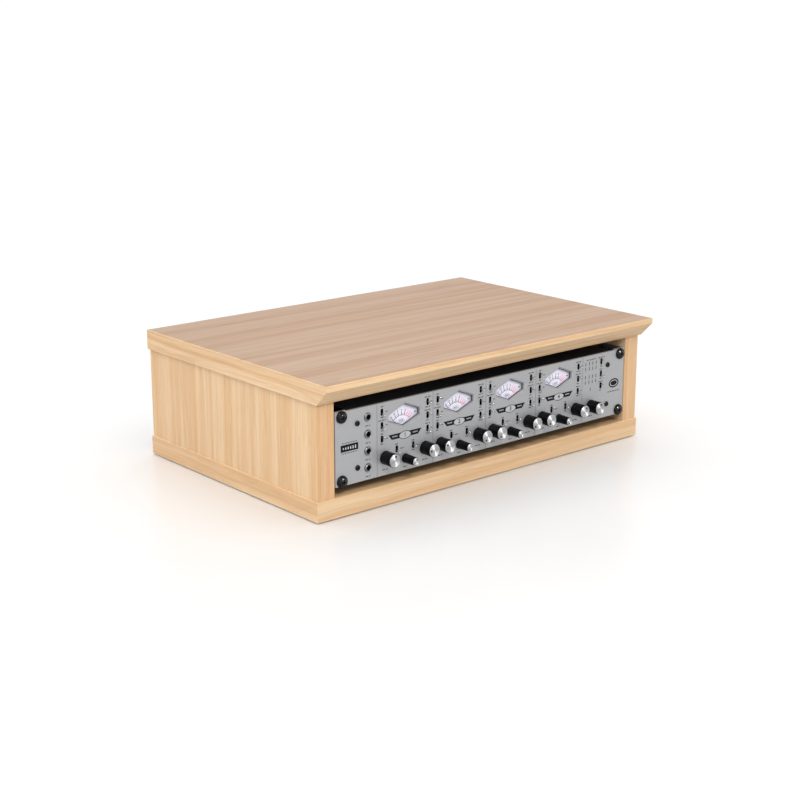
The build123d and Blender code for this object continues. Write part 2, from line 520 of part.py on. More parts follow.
def chassis_cover():
    """Lid with lips down both sides, and a row of cooling slots over the transformer."""
    middle_y = (CHASSIS_FRONT + CHASSIS_REAR) / 2
    with BuildPart() as cover:
        with BuildSketch(Plane.XY.offset(CHASSIS_TOP - SHEET)):
            with Locations((0, middle_y)):
                Rectangle(CHASSIS_WIDTH + 2 * SHEET, CHASSIS_DEPTH)
        extrude(amount=SHEET)
        for side in (-1, 1):
            with BuildSketch(Plane.XY.offset(CHASSIS_TOP - COVER_LIP)):
                with Locations((side * (CHASSIS_WIDTH + SHEET) / 2, middle_y + COVER_LIP_INSET / 2)):
                    Rectangle(SHEET, CHASSIS_DEPTH - COVER_LIP_INSET)
            extrude(amount=COVER_LIP)
        with BuildSketch(Plane.XY.offset(CHASSIS_TOP - SHEET)):
            with Locations((TRANSFORMER_X, TRANSFORMER_Y), (-TRANSFORMER_X, TRANSFORMER_Y)):
                with GridLocations(VENT_PITCH, VENT_ROWS_APART, VENT_COUNT, 2):
                    SlotOverall(VENT_LENGTH, VENT_WIDTH, rotation=90)
        extrude(amount=SHEET, mode=Mode.SUBTRACT)
    return cover.part


# ---- Rear panel and its sockets -----------------------------------------------------------


def rearward(y):
    """The plane at y that looks out of the rear. Its sketches run against X."""
    return Plane((0, y, 0), x_dir=(-1, 0, 0), z_dir=(0, 1, 0))


def rear_panel():
    with BuildPart() as panel:
        with BuildSketch(rearward(CHASSIS_REAR - SHEET)):
            with Locations((0, (FLOOR + CHASSIS_TOP - SHEET) / 2)):
                Rectangle(CHASSIS_WIDTH - 2 * SHEET, CHASSIS_TOP - SHEET - FLOOR)
            with Locations(*[(-x, SOCKET_Z) for x in MIC_X]):
                Circle(MIC_BODY_RADIUS + GAP, mode=Mode.SUBTRACT)
            with Locations(*[(-x, SOCKET_Z) for x in MULTI_X]):
                Rectangle(MULTI_BODY[0] + 2 * GAP, MULTI_BODY[1] + 2 * GAP, mode=Mode.SUBTRACT)
            with Locations((-INLET_X, SOCKET_Z)):
                Rectangle(INLET_CUT[0] + 2 * GAP, INLET_CUT[1] + 2 * GAP, mode=Mode.SUBTRACT)
        extrude(amount=SHEET)
    return panel.part


def multi_pins(x):
    """The two staggered pin rows of one multi-pin connector, as drawn on a rearward plane."""
    rows = [(MULTI_PIN_ROW, 13), (-MULTI_PIN_ROW, 12)]
    return [
        (MULTI_PIN_PITCH * (i - (count - 1) / 2) - x, SOCKET_Z + dz)
        for dz, count in rows
        for i in range(count)
    ]


def rear_connectors():
    """Four three-pin microphone sockets and two multi-pin connectors."""
    mics = [(-x, SOCKET_Z) for x in MIC_X]
    multis = [(-x, SOCKET_Z) for x in MULTI_X]
    flange_face = CHASSIS_REAR + SOCKET_FLANGE_THICK
    with BuildPart() as sockets:
        with BuildSketch(rearward(CHASSIS_REAR)):
            with Locations(*mics):
                RectangleRounded(*MIC_FLANGE, SOCKET_CORNER)
            with Locations(*multis):
                RectangleRounded(*MULTI_FLANGE, SOCKET_CORNER)
        extrude(amount=SOCKET_FLANGE_THICK)
        with BuildSketch(rearward(CHASSIS_REAR - MIC_BODY_BEHIND)):
            with Locations(*mics):
                Circle(MIC_BODY_RADIUS)
        extrude(amount=MIC_BODY_BEHIND + MIC_PROUD)
        with BuildSketch(rearward(CHASSIS_REAR - MULTI_BODY[2])):
            with Locations(*multis):
                Rectangle(*MULTI_BODY[:2])
        extrude(amount=MULTI_BODY[2])
        with BuildSketch(rearward(flange_face)):
            with Locations(*multis):
                RectangleRounded(*MULTI_SHELL[:2], SOCKET_CORNER)
        extrude(amount=MULTI_SHELL[2])
        with BuildSketch(rearward(CHASSIS_REAR + MIC_PROUD)):
            with Locations(*[(-x + dx, SOCKET_Z + dz) for x in MIC_X for dx, dz in MIC_PINS]):
                Circle(MIC_PIN_RADIUS)
        extrude(amount=-MIC_PIN_DEPTH, mode=Mode.SUBTRACT)
        with BuildSketch(rearward(flange_face + MULTI_SHELL[2])):
            with Locations(*[place for x in MULTI_X for place in multi_pins(x)]):
                Circle(MULTI_PIN_RADIUS)
        extrude(amount=-MULTI_PIN_DEPTH, mode=Mode.SUBTRACT)
    return sockets.part


def power_inlet():
    """Mains inlet with a hollow shell and three flat pins."""
    place = (-INLET_X, SOCKET_Z)
    with BuildPart() as inlet:
        with BuildSketch(rearward(CHASSIS_REAR)):
            with Locations(place):
                RectangleRounded(*INLET_FLANGE[:2], INLET_CORNER)
        extrude(amount=INLET_FLANGE[2])
        with BuildSketch(rearward(CHASSIS_REAR - INLET_DEPTH)):
            with Locations(place):
                Rectangle(*INLET_CUT)
        extrude(amount=INLET_DEPTH)
        with BuildSketch(rearward(CHASSIS_REAR - INLET_HOLLOW)):
            with Locations(place):
                RectangleRounded(*INLET_SHELL, INLET_CORNER / 2)
        extrude(amount=INLET_HOLLOW + INLET_FLANGE[2], mode=Mode.SUBTRACT)
        with BuildSketch(rearward(CHASSIS_REAR - INLET_HOLLOW)):
            with Locations(*[(dx - INLET_X, SOCKET_Z + dz) for dx, dz in INLET_PINS]):
                Rectangle(*INLET_PIN)
        extrude(amount=INLET_PIN_LENGTH)
    return inlet.part


# ---- Inside the unit ----------------------------------------------------------------------


def power_transformer():
    """Toroidal transformer, held to the chassis floor by a dished plate and a centre bolt."""
    place = (TRANSFORMER_X, TRANSFORMER_Y)
    with BuildPart() as ring:
        with BuildSketch(Plane.XY.offset(FLOOR)):
            with Locations(place):
                Circle(TRANSFORMER_RADIUS)
                Circle(TRANSFORMER_CORE, mode=Mode.SUBTRACT)
        extrude(amount=TRANSFORMER_HEIGHT)
        fillet(ring.edges().filter_by(GeomType.CIRCLE), TRANSFORMER_ROUND)
    with BuildPart() as clamp:
        with BuildSketch(Plane.XY.offset(FLOOR)):
            with Locations(place):
                Circle(CLAMP_BOLT)
        extrude(amount=TRANSFORMER_HEIGHT + CLAMP_BOLT_PROUD)
        with BuildSketch(Plane.XY.offset(FLOOR + TRANSFORMER_HEIGHT)):
            with Locations(place):
                Circle(CLAMP_RADIUS)
        extrude(amount=CLAMP_THICK)
    return Compound(children=[ring.part, clamp.part])


def circuit_boards():
    """Control board across the front, and the main board on standoffs with its tall parts."""
    front_low, front_high = FLOOR + 2.0, CHASSIS_TOP - SHEET - 2.0
    front_left, front_right = JACK_X + 9.0, 206.0
    main_width, main_depth, main_x, main_y = 270.0, 180.0, -66.0, -38.0
    inset = 8.0  # of the standoffs, from the board's edges
    main_top = FLOOR + STANDOFF + BOARD_THICK
    with BuildPart() as front:
        with BuildSketch(facing(FRONT_BOARD_DEPTH + BOARD_THICK)):
            with Locations(((front_left + front_right) / 2, (front_low + front_high) / 2)):
                Rectangle(front_right - front_left, front_high - front_low)
            with Locations(*meter_places()):
                Rectangle(METER_CASE[0] + 1.0, METER_CASE[1] + 1.0, mode=Mode.SUBTRACT)
        extrude(amount=BOARD_THICK)
    with BuildPart() as main:
        with BuildSketch(Plane.XY.offset(FLOOR + STANDOFF)):
            with Locations((main_x, main_y)):
                Rectangle(main_width, main_depth)
        extrude(amount=BOARD_THICK)
    with BuildPart() as standoffs:
        with BuildSketch(Plane.XY.offset(FLOOR)):
            with Locations((main_x, main_y)):
                with GridLocations(main_width / 2 - inset, main_depth - 2 * inset, 3, 2):
                    Circle(STANDOFF_RADIUS)
        extrude(amount=STANDOFF)
    with BuildPart() as capacitors:
        with BuildSketch(Plane.XY.offset(main_top)):
            with Locations((main_x, main_y + CAPACITOR_BACK)):
                with GridLocations(*CAPACITOR_GRID):
                    Circle(CAPACITOR_RADIUS)
        extrude(amount=CAPACITOR_HEIGHT)
    with BuildPart() as valves:
        with BuildSketch(Plane.XY.offset(main_top)):
            with Locations((main_x, main_y)):
                with GridLocations(*VALVE_GRID):
                    Circle(VALVE_RADIUS)
        extrude(amount=VALVE_HEIGHT)
        fillet(valves.edges().group_by(Axis.Z)[-1], VALVE_ROUND)
    pieces = [front, main, standoffs, capacitors, valves]
    return Compound(children=[piece.part for piece in pieces])


def potentiometers():
    """Control bodies behind the chassis wall, with bushings that the shafts turn in, and nuts."""
    with BuildPart() as pots:
        for place, size, dot in KNOBS.values():
            width = POT_WIDTHS[0] if size is LARGE_KNOB else POT_WIDTHS[1]
            with BuildSketch(facing(WALL_DEPTH + TOGGLE_BODY[1])):
                with Locations(place):
                    RectangleRounded(width, width, BODY_CORNER)
            extrude(amount=TOGGLE_BODY[1])
            with BuildSketch(facing(WALL_DEPTH)):
                with Locations(place):
                    Circle(size["bushing"])
            extrude(amount=WALL_DEPTH + POT_BUSHING_PROUD)
            with BuildSketch(facing()):
                with Locations(place):
                    RegularPolygon(size["nut"], 6)
            extrude(amount=POT_NUT_THICK)
            with BuildSketch(facing(-POT_BUSHING_PROUD)):
                with Locations(place):
                    Circle(size["shaft"] + SHAFT_PLAY)
            extrude(amount=-(WALL_DEPTH + POT_SHAFT_DEPTH), mode=Mode.SUBTRACT)
    return pots.part


def knob_body(place, size):
    """The turned black grip, hollow over the fixing nut, and the shaft that it turns on."""
    height = size["height"]
    shaft_depth = WALL_DEPTH + SHAFT_END
    with BuildPart() as body:
        with BuildSketch(facing(-KNOB_GAP)):
            with Locations(place):
                Circle(size["base"])
        extrude(amount=SKIRT_HEIGHT)
        with BuildSketch(facing(-KNOB_GAP - SKIRT_HEIGHT)):
            with Locations(place):
                Circle(size["base"] - SKIRT_STEP)
        with BuildSketch(facing(-height)):
            with Locations(place):
                Circle(size["cap"] + CAP_RIM)
        loft()
        with BuildSketch(facing(-height)):
            with Locations(place):
                Circle(size["cap"] + GAP)
        extrude(amount=CAP_RISE - CAP_THICK, mode=Mode.SUBTRACT)
        with BuildSketch(facing(-KNOB_GAP)):
            with Locations(place):
                Circle(size["nut"] + HUB_PLAY)
        extrude(amount=KNOB_HOLLOW, mode=Mode.SUBTRACT)
        with BuildSketch(facing(shaft_depth)):
            with Locations(place):
                Circle(size["shaft"])
        extrude(amount=shaft_depth + KNOB_GAP + KNOB_HOLLOW + SHAFT_IN_KNOB)
    return body.part


def knob_cap(place, size, dot):
    """The bright cap let into a knob's face, with the sunk dot that shows its setting."""
    angle = radians(dot)
    height = size["height"]
    with BuildPart() as cap:
        with BuildSketch(facing(CAP_THICK - CAP_RISE - GAP - height)):
            with Locations(place):
                Circle(size["cap"])
        extrude(amount=CAP_THICK - GAP)
        chamfer(cap.faces().sort_by(Axis.Y)[0].edges(), CAP_EDGE)
        with BuildSketch(facing(-height - CAP_RISE)):
            with Locations((place[0] + size["dot"] * sin(angle), place[1] + size["dot"] * cos(angle))):
                Circle(size["dot_radius"])
        extrude(amount=-DOT_DEPTH, mode=Mode.SUBTRACT)
    return cap.part


def knob(place, size, dot):
    return Compound(children=[knob_body(place, size), knob_cap(place, size, dot)])


# ---- Switches ---------------------------------------------------------------------------


def toggle_bodies():
    """Switch bodies behind the chassis wall, hollow in front, with cheeks that hold the pivots."""
    width, depth, height = TOGGLE_BODY
    with BuildPart() as bodies:
        with BuildSketch(facing(WALL_DEPTH + depth)):
            with Locations(*TOGGLE_PLACES):
                Rectangle(width, height)
        extrude(amount=depth)
        with BuildSketch(facing(WALL_DEPTH)):
            with Locations(*TOGGLE_PLACES):
                Rectangle(TOGGLE_HOLLOW[0], TOGGLE_HOLLOW[2])
        extrude(amount=-TOGGLE_HOLLOW[1], mode=Mode.SUBTRACT)
        pin_hole = LEVER_PIN_LENGTH / 2 + HUB_PLAY / 4
        for x, z in TOGGLE_PLACES:
            with BuildSketch(Plane.YZ.offset(x - pin_hole)):
                with Locations((TOGGLE_PIVOT_DEPTH - PANEL_REACH, z)):
                    Circle(LEVER_PIN_RADIUS + SHAFT_PLAY)
            extrude(amount=2 * pin_hole, mode=Mode.SUBTRACT)
    return bodies.part


def levers(places, rest):
    """Bat levers at their rest tilt, each on a cross pin through its pivot ball."""
    pivot_y = TOGGLE_PIVOT_DEPTH - PANEL_REACH
    length = TOGGLE_PIVOT_DEPTH + TOGGLE_REACH
    tilt = radians(rest)
    with BuildPart() as bats:
        for x, z in places:
            along = Plane((x, pivot_y, z), x_dir=(1, 0, 0), z_dir=(0, -cos(tilt), sin(tilt)))
            with BuildSketch(along):
                Circle(LEVER_NECK)
            with BuildSketch(along.offset(length - LEVER_TIP)):
                Circle(LEVER_TIP)
            loft()
            with Locations(along.offset(length - LEVER_TIP).location):
                Sphere(LEVER_TIP)
            with Locations(along.location):
                Sphere(LEVER_BALL)
            with BuildSketch(Plane.YZ.offset(x - LEVER_PIN_LENGTH / 2)):
                with Locations((pivot_y, z)):
                    Circle(LEVER_PIN_RADIUS)
            extrude(amount=LEVER_PIN_LENGTH)
    return bats.part


def jack_sockets():
    """Front jacks: a body behind the wall, a bushing through the panel and a ring nut."""
    width, height, depth = JACK_BODY
    with BuildPart() as jacks:
        with BuildSketch(facing(WALL_DEPTH + depth)):
            with Locations(*JACK_PLACES):
                RectangleRounded(width, height, BODY_CORNER)
        extrude(amount=depth)
        with BuildSketch(facing(WALL_DEPTH)):
            with Locations(*JACK_PLACES):
                Circle(JACK_BUSHING_RADIUS)
        extrude(amount=WALL_DEPTH + JACK_BUSHING_PROUD)
        with BuildSketch(facing()):
            with Locations(*JACK_PLACES):
                Circle(JACK_NUT_RADIUS)
        extrude(amount=JACK_NUT_THICK)
        with BuildSketch(facing(-JACK_BUSHING_PROUD)):
            with Locations(*JACK_PLACES):
                Circle(JACK_BORE)
        extrude(amount=-JACK_BORE_DEPTH, mode=Mode.SUBTRACT)
    return jacks.part


# ---- Meters -----------------------------------------------------------------------------


def meter_places():
    """The centres of the meter cases, which reach below the windows to their pivots."""
    return [at(x, METER_CASE_DROP) for x in CHANNEL_X]


def meter_cases():
    """Open-fronted movement cases, with a ledge for the dial and a bearing post for the needle."""
    width, height, depth = METER_CASE
    front = WALL_DEPTH + WINDOW_THICK
    with BuildPart() as cases:
        with BuildSketch(facing(front + depth)):
            with Locations(*meter_places()):
                RectangleRounded(width, height, METER_CORNER)
        extrude(amount=depth)
        with BuildSketch(facing(front)):
            with Locations(*meter_places()):
                Rectangle(width - 2 * METER_WALL, height - 2 * METER_WALL)
        extrude(amount=-(DIAL_DEPTH + DIAL_THICK - front), mode=Mode.SUBTRACT)
        inset = 2 * (METER_WALL + METER_LEDGE)
        with BuildSketch(facing(DIAL_DEPTH + DIAL_THICK)):
            with Locations(*meter_places()):
                Rectangle(width - inset, height - inset)
        extrude(amount=-MOVEMENT_DEPTH, mode=Mode.SUBTRACT)
        with BuildSketch(facing(DIAL_DEPTH + DIAL_THICK + MOVEMENT_DEPTH)):
            with Locations(*[at(x, NEEDLE_PIVOT_DROP) for x in CHANNEL_X]):
                Circle(POST_RADIUS)
                Circle(HUB_RADIUS + SHAFT_PLAY, mode=Mode.SUBTRACT)
        extrude(amount=POST_LENGTH)
    return cases.part


def meter_dials():
    inset = 2 * (METER_WALL + DIAL_PLAY)
    width, height = METER_CASE[0] - inset, METER_CASE[1] - inset
    with BuildPart() as dials:
        with BuildSketch(facing(DIAL_DEPTH + DIAL_THICK)):
            with Locations(*meter_places()):
                Rectangle(width, height)
            with Locations(*[at(x, NEEDLE_PIVOT_DROP) for x in CHANNEL_X]):
                Circle(HUB_RADIUS + HUB_PLAY, mode=Mode.SUBTRACT)
        extrude(amount=DIAL_THICK)
    return dials.part


def meter_windows():
    with BuildPart() as windows:
        with BuildSketch(facing(WALL_DEPTH + WINDOW_THICK)):
            with Locations(*meter_places()):
                Rectangle(METER_CASE[0], METER_CASE[1])
        extrude(amount=WINDOW_THICK)
    return windows.part


def meter_needle(x):
    """A tapered pointer at its left stop, on a hub that runs back into the bearing post."""
    pivot = at(x, NEEDLE_PIVOT_DROP)
    angle = radians(NEEDLE_REST)
    ahead, across = (sin(angle), cos(angle)), (cos(angle), -sin(angle))
    tail, tip = (-NEEDLE_TAIL, NEEDLE_HALF_TAIL), (NEEDLE_LENGTH, NEEDLE_HALF_TIP)
    outline = [(tail[0], -tail[1]), (tip[0], -tip[1]), tip, tail]
    corners = [
        (pivot[0] + ahead[0] * reach + across[0] * half, pivot[1] + ahead[1] * reach + across[1] * half)
        for reach, half in outline
    ]
    with BuildPart() as needle:
        with BuildSketch(facing(NEEDLE_DEPTH)):
            with BuildLine():
                Polyline(*corners, close=True)
            make_face()
        extrude(amount=NEEDLE_THICK)
        hub_depth = DIAL_DEPTH + DIAL_THICK + MOVEMENT_DEPTH - HUB_END
        with BuildSketch(facing(hub_depth)):
            with Locations(pivot):
                Circle(HUB_RADIUS)
        extrude(amount=hub_depth - NEEDLE_DEPTH + NEEDLE_THICK)
    return needle.part


# ---- Write every piece --------------------------------------------------------------------
save("cabinet_top", cabinet_top())
save("cabinet_base", cabinet_base())
save("cabinet_side_left", cabinet_side(-1))
save("cabinet_side_right", cabinet_side(1))
save("cabinet_screws", cabinet_screws())
save("cam_locks", cam_locks())
save("glide_pads", glide_pads())
save("rack_rails", rack_rails())
save("rail_screws", rail_screws())
save("rack_screws", rack_screws())
save("cup_washers", cup_washers())
save("front_panel", front_panel())
save("panel_screws", panel_screws())
save("chassis_tray", chassis_tray())
save("chassis_cover", chassis_cover())
save("rear_panel", rear_panel())
save("rear_connectors", rear_connectors())
save("power_inlet", power_inlet())
save("power_transformer", power_transformer())
save("circuit_boards", circuit_boards())
save("potentiometers", potentiometers())
save("toggle_bodies", toggle_bodies())
save("jack_sockets", jack_sockets())
save("meter_cases", meter_cases())
save("meter_dials", meter_dials())
save("meter_windows", meter_windows())
for name, (place, size, dot) in KNOBS.items():
    save(name, knob(place, size, dot))
for name, (places, rest) in LEVERS.items():
    save(name, levers(places, rest))
for n, x in enumerate(CHANNEL_X):
    save(f"meter_needle_ch{n + 1}", meter_needle(x))
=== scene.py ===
"""A four-channel rack compressor in a wooden desktop housing, on a pale studio floor."""

import math

import bmesh
import bpy
from mathutils import Matrix, Vector


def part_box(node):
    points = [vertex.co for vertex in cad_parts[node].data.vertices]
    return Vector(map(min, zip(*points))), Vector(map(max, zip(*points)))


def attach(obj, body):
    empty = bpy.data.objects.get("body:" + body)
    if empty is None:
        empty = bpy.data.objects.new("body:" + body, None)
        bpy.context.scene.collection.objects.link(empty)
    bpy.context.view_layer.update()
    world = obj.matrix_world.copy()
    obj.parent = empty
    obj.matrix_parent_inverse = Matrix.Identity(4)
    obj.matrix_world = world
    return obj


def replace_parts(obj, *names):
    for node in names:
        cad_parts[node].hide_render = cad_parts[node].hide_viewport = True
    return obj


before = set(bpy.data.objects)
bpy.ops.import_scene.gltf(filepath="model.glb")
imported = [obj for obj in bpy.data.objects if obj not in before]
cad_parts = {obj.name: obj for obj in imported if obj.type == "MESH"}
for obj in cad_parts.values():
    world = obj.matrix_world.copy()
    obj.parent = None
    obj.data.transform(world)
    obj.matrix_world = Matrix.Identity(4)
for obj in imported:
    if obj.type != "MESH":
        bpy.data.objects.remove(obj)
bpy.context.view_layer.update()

MM = 0.001
BODY = "unit_in_housing"

# ---- The panel's own coordinates: millimetres from its left edge and down from its top edge ----
PANEL_LOW, PANEL_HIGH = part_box("front_panel")
FACE = PANEL_LOW.y
PRINT = 0.05  # thickness of a printed mark
CHANNEL_LEFT, CHANNEL_PITCH = 103.2, 85.85
CHANNELS = [CHANNEL_LEFT + CHANNEL_PITCH * i for i in range(4)]
DIVIDERS = [60.8, 146.7, 232.7, 318.8, 403.9]
TOGGLE_SIDE, TOGGLE_LOW = 35.0, 12.6
TOGGLE_DROPS, TOGGLE_LOW_DROP = [11.0, 27.1, 43.3], 59.5
MASTER_TOGGLE = 438.8
JACK_X, JACK_DROPS = 47.1, [12.9, 33.1, 53.3, 73.5]
KNOB_SIDE, KNOB_DROP, SMALL_KNOB_DROP = 30.5, 66.3, 73.2
MASTER_KNOB = (420.1, 67.4)
PIVOT_DROP, DIAL_DEPTH = 38.5, 6.9
DIAL_ARC, DIAL_NUMBER_RADIUS, DIAL_NUMBER_SIZE = 15.7, 21.9, 3.1
WINDOW_DROP, WINDOW_HALF_WIDTH, WINDOW_HALF_HEIGHT, WINDOW_SIDE = 20.5, 24.3, 13.9, 4.0
WINDOW_DEPTH, BEVEL_DEPTH = 4.5, 1.2

# ---- Turned parts ----
# The dot is the mark's distance from the knob's axis, and the mark is its radius.
LARGE = {
    "grip": 8.25, "waist": 8.0, "cap": 7.85, "height": 18.0, "shaft": 3.0, "hollow": 6.4, "dot": 4.9,
    "mark": 1.35,
}
SMALL = {
    "grip": 5.75, "waist": 5.5, "cap": 4.55, "height": 20.0, "shaft": 1.6, "hollow": 4.5, "dot": 2.4,
    "mark": 0.95,
}
CAP_PROUD = 0.35  # how far a cap stands out of its knob
DOTS = {
    "knob_gain": (15.0, -60.0, -150.0, -150.0),
    "knob_trim": (24.0, -172.0, -172.0, -172.0),
    "knob_level": (-88.0, -150.0, -130.0, 36.0),
}
MASTER_DOT = 14.0
SHAFT_REACH = 10.5
LEVER_PIVOT, LEVER_LENGTH, LEVER_TILT = 7.0, 13.8, 14.0
LEVER_NECK, LEVER_TIP = 0.8, 1.35
SLOT_WIDTH, SLOT_HEIGHT = 3.2, 8.0
LINER_BACK, LINER_LENGTH = WINDOW_DEPTH - 0.1, WINDOW_DEPTH - 0.15

# ---- Rear sockets: millimetres from the rear panel's middle ----
REAR_LOW, REAR_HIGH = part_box("rear_panel")
OUTWARD = Matrix.Rotation(math.pi, 3, "Z")  # turns a lathed piece to face out of the rear panel
MIC_X, MIC_PINS = [-175.0 + 42.0 * i for i in range(4)], [(-4.4, -1.2), (4.4, -1.2), (0.0, -4.6)]
MIC_SCREW, MIC_GROUP = (10.2, -12.6), (-112.0, 160.0, 56.0)
MULTI_X, MULTI_POST_X, MULTI_FLANGE = [15.0, 82.0], 23.2, -2.0
INLET_X, INLET_SCREW_X, INLET_PINS = 175.0, 20.2, [(0.0, 2.0), (-7.0, -2.0), (7.0, -2.0)]
INLET_PIN_BACK, INLET_PIN_LENGTH = 15.95, 11.1
REAR_SCREW_X, REAR_SCREW_UP = (-205.0, -68.0, 68.0, 205.0), 37.0

# ---- Camera: metres, millimetres of lens, and degrees ----
CAMERA_PLACE, CAMERA_LENS = (-1.2576, -1.4689, 0.599), 69.2
CAMERA_AZIMUTH, CAMERA_PITCH = 40.42, 15.49

# Lever node: offset from the channel's centre line, drop, channels, and rest position.
LEVERS = {
    "levers_left_upper_ch1_ch3": (-TOGGLE_SIDE, TOGGLE_DROPS[0], (1, 3), -1),
    "levers_left_upper_ch2_ch4": (-TOGGLE_SIDE, TOGGLE_DROPS[0], (2, 4), 1),
    "levers_left_middle_ch1_ch2": (-TOGGLE_SIDE, TOGGLE_DROPS[1], (1, 2), -1),
    "levers_left_middle_ch3_ch4": (-TOGGLE_SIDE, TOGGLE_DROPS[1], (3, 4), -1),
    "levers_left_lower_ch1_ch2": (-TOGGLE_SIDE, TOGGLE_DROPS[2], (1, 2), 1),
    "levers_left_lower_ch3_ch4": (-TOGGLE_SIDE, TOGGLE_DROPS[2], (3, 4), 1),
    "levers_right_upper_all": (TOGGLE_SIDE, TOGGLE_DROPS[0], (1, 2, 3, 4), 0),
    "levers_right_middle_ch1_ch2": (TOGGLE_SIDE, TOGGLE_DROPS[1], (1, 2), 1),
    "levers_right_middle_ch3_ch4": (TOGGLE_SIDE, TOGGLE_DROPS[1], (3, 4), 1),
    "levers_right_lower_ch1_ch2": (TOGGLE_SIDE, TOGGLE_DROPS[2], (1, 2), -1),
    "levers_right_lower_ch3_ch4": (TOGGLE_SIDE, TOGGLE_DROPS[2], (3, 4), -1),
    "levers_bottom_left_ch1_ch3": (-TOGGLE_LOW, TOGGLE_LOW_DROP, (1, 3), -1),
    "levers_bottom_left_ch2_ch4": (-TOGGLE_LOW, TOGGLE_LOW_DROP, (2, 4), 1),
    "levers_bottom_right_all": (TOGGLE_LOW, TOGGLE_LOW_DROP, (1, 2, 3, 4), 0),
    "lever_master_upper": (MASTER_TOGGLE, TOGGLE_DROPS[0], (), 1),
    "lever_master_middle": (MASTER_TOGGLE, TOGGLE_DROPS[1], (), -1),
    "lever_master_lower": (MASTER_TOGGLE, TOGGLE_DROPS[2], (), 1),
}


def on_panel(x, drop, depth=0.0):
    """A point in metres, from panel millimetres. Depth is behind the face."""
    return Vector((PANEL_LOW.x + x * MM, FACE + depth * MM, PANEL_HIGH.z - drop * MM))


def on_rear(x, up, depth=0.0):
    """A point in metres, from millimetres off the rear panel's middle. Depth is into the unit."""
    return Vector((x * MM, REAR_HIGH.y - depth * MM, (REAR_LOW.z + REAR_HIGH.z) / 2 + up * MM))


# ---- Node graphs --------------------------------------------------------------------------


class Graph:
    """A material's node tree, with short ways to add the nodes that the materials share."""

    def __init__(self, name, **sockets):
        self.material = bpy.data.materials.new(name)
        self.material.use_nodes = True
        self.tree = self.material.node_tree
        self.shader = self.tree.nodes["Principled BSDF"]
        for socket, value in sockets.items():
            self.shader.inputs[socket.replace("_", " ")].default_value = value

    def node(self, kind, **settings):
        node = self.tree.nodes.new(kind)
        for name, value in settings.items():
            setattr(node, name, value)
        return node

    def link(self, source, target):
        self.tree.links.new(source, target)

    def set(self, socket, source):
        self.link(source, self.shader.inputs[socket])

    def place(self):
        return self.node("ShaderNodeTexCoord").outputs["Object"]

    def scaled(self, vector, factors):
        node = self.node("ShaderNodeVectorMath", operation="MULTIPLY")
        self.link(vector, node.inputs[0])
        node.inputs[1].default_value = factors
        return node.outputs["Vector"]

    def noise(self, vector, scale, detail=3.0, roughness=0.5, distortion=0.0):
        node = self.node("ShaderNodeTexNoise")
        self.link(vector, node.inputs["Vector"])
        node.inputs["Scale"].default_value = scale
        node.inputs["Detail"].default_value = detail
        node.inputs["Roughness"].default_value = roughness
        node.inputs["Distortion"].default_value = distortion
        return node.outputs["Fac"]

    def spread(self, value, low, high, to_low=0.0, to_high=1.0):
        node = self.node("ShaderNodeMapRange")
        self.link(value, node.inputs["Value"])
        for socket, number in zip(("From Min", "From Max", "To Min", "To Max"), (low, high, to_low, to_high)):
            node.inputs[socket].default_value = number
        return node.outputs["Result"]

    def maths(self, operation, first, second):
        node = self.node("ShaderNodeMath", operation=operation)
        for socket, value in zip(node.inputs, (first, second)):
            if isinstance(value, (int, float)):
                socket.default_value = value
            else:
                self.link(value, socket)
        return node.outputs["Value"]

    def ramp(self, factor, stops):
        node = self.node("ShaderNodeValToRGB")
        elements = node.color_ramp.elements
        while len(elements) < len(stops):
            elements.new(0.5)
        for element, (position, colour) in zip(elements, stops):
            element.position = position
            element.color = colour
        self.link(factor, node.inputs["Fac"])
        return node.outputs["Color"]

    def mix(self, factor, first, second, blend="MIX"):
        node = self.node("ShaderNodeMix", data_type="RGBA", blend_type=blend)
        sockets = [s for s in node.inputs if s.type == "RGBA"]
        targets = [node.inputs["Factor"], *sockets]
        for socket, value in zip(targets, (factor, first, second)):
            if isinstance(value, (int, float, tuple)):
                socket.default_value = value
            else:
                self.link(value, socket)
        return [s for s in node.outputs if s.type == "RGBA"][0]

    def bump(self, height, strength, distance):
        node = self.node("ShaderNodeBump")
        self.link(height, node.inputs["Height"])
        node.inputs["Strength"].default_value = strength
        node.inputs["Distance"].default_value = distance
        self.set("Normal", node.outputs["Normal"])


def tone(red, green, blue):
    """A linear colour from display values of 0 to 255."""

    def linear(value):
        value /= 255
        return value / 12.92 if value <= 0.04045 else ((value + 0.055) / 1.055) ** 2.4

    return (linear(red), linear(green), linear(blue), 1.0)


# ---- Wood ---------------------------------------------------------------------------------


def grain_place(g, upright):
    """Object coordinates reordered so that the first runs along the grain. Board ends turn it."""
    separate = g.node("ShaderNodeSeparateXYZ")
    g.link(g.place(), separate.inputs["Vector"])
    x, y, z = (separate.outputs[axis] for axis in "XYZ")

    def ordered(*parts):
        node = g.node("ShaderNodeCombineXYZ")
        for part, axis in zip(parts, "XYZ"):
            g.link(part, node.inputs[axis])
        return node.outputs["Vector"]

    if upright:
        return ordered(z, y, x)
    normal = g.node("ShaderNodeSeparateXYZ")
    g.link(g.node("ShaderNodeNewGeometry").outputs["True Normal"], normal.inputs["Vector"])
    side_on = g.maths("GREATER_THAN", g.maths("ABSOLUTE", normal.outputs["X"], 0.0), 0.9)
    node = g.node("ShaderNodeMix", data_type="VECTOR")
    vectors = [s for s in node.inputs if s.type == "VECTOR" and s.name in ("A", "B")]
    g.link(side_on, node.inputs["Factor"])
    g.link(ordered(x, y, z), vectors[0])
    g.link(ordered(y, x, z), vectors[1])
    return [s for s in node.outputs if s.type == "VECTOR"][0]


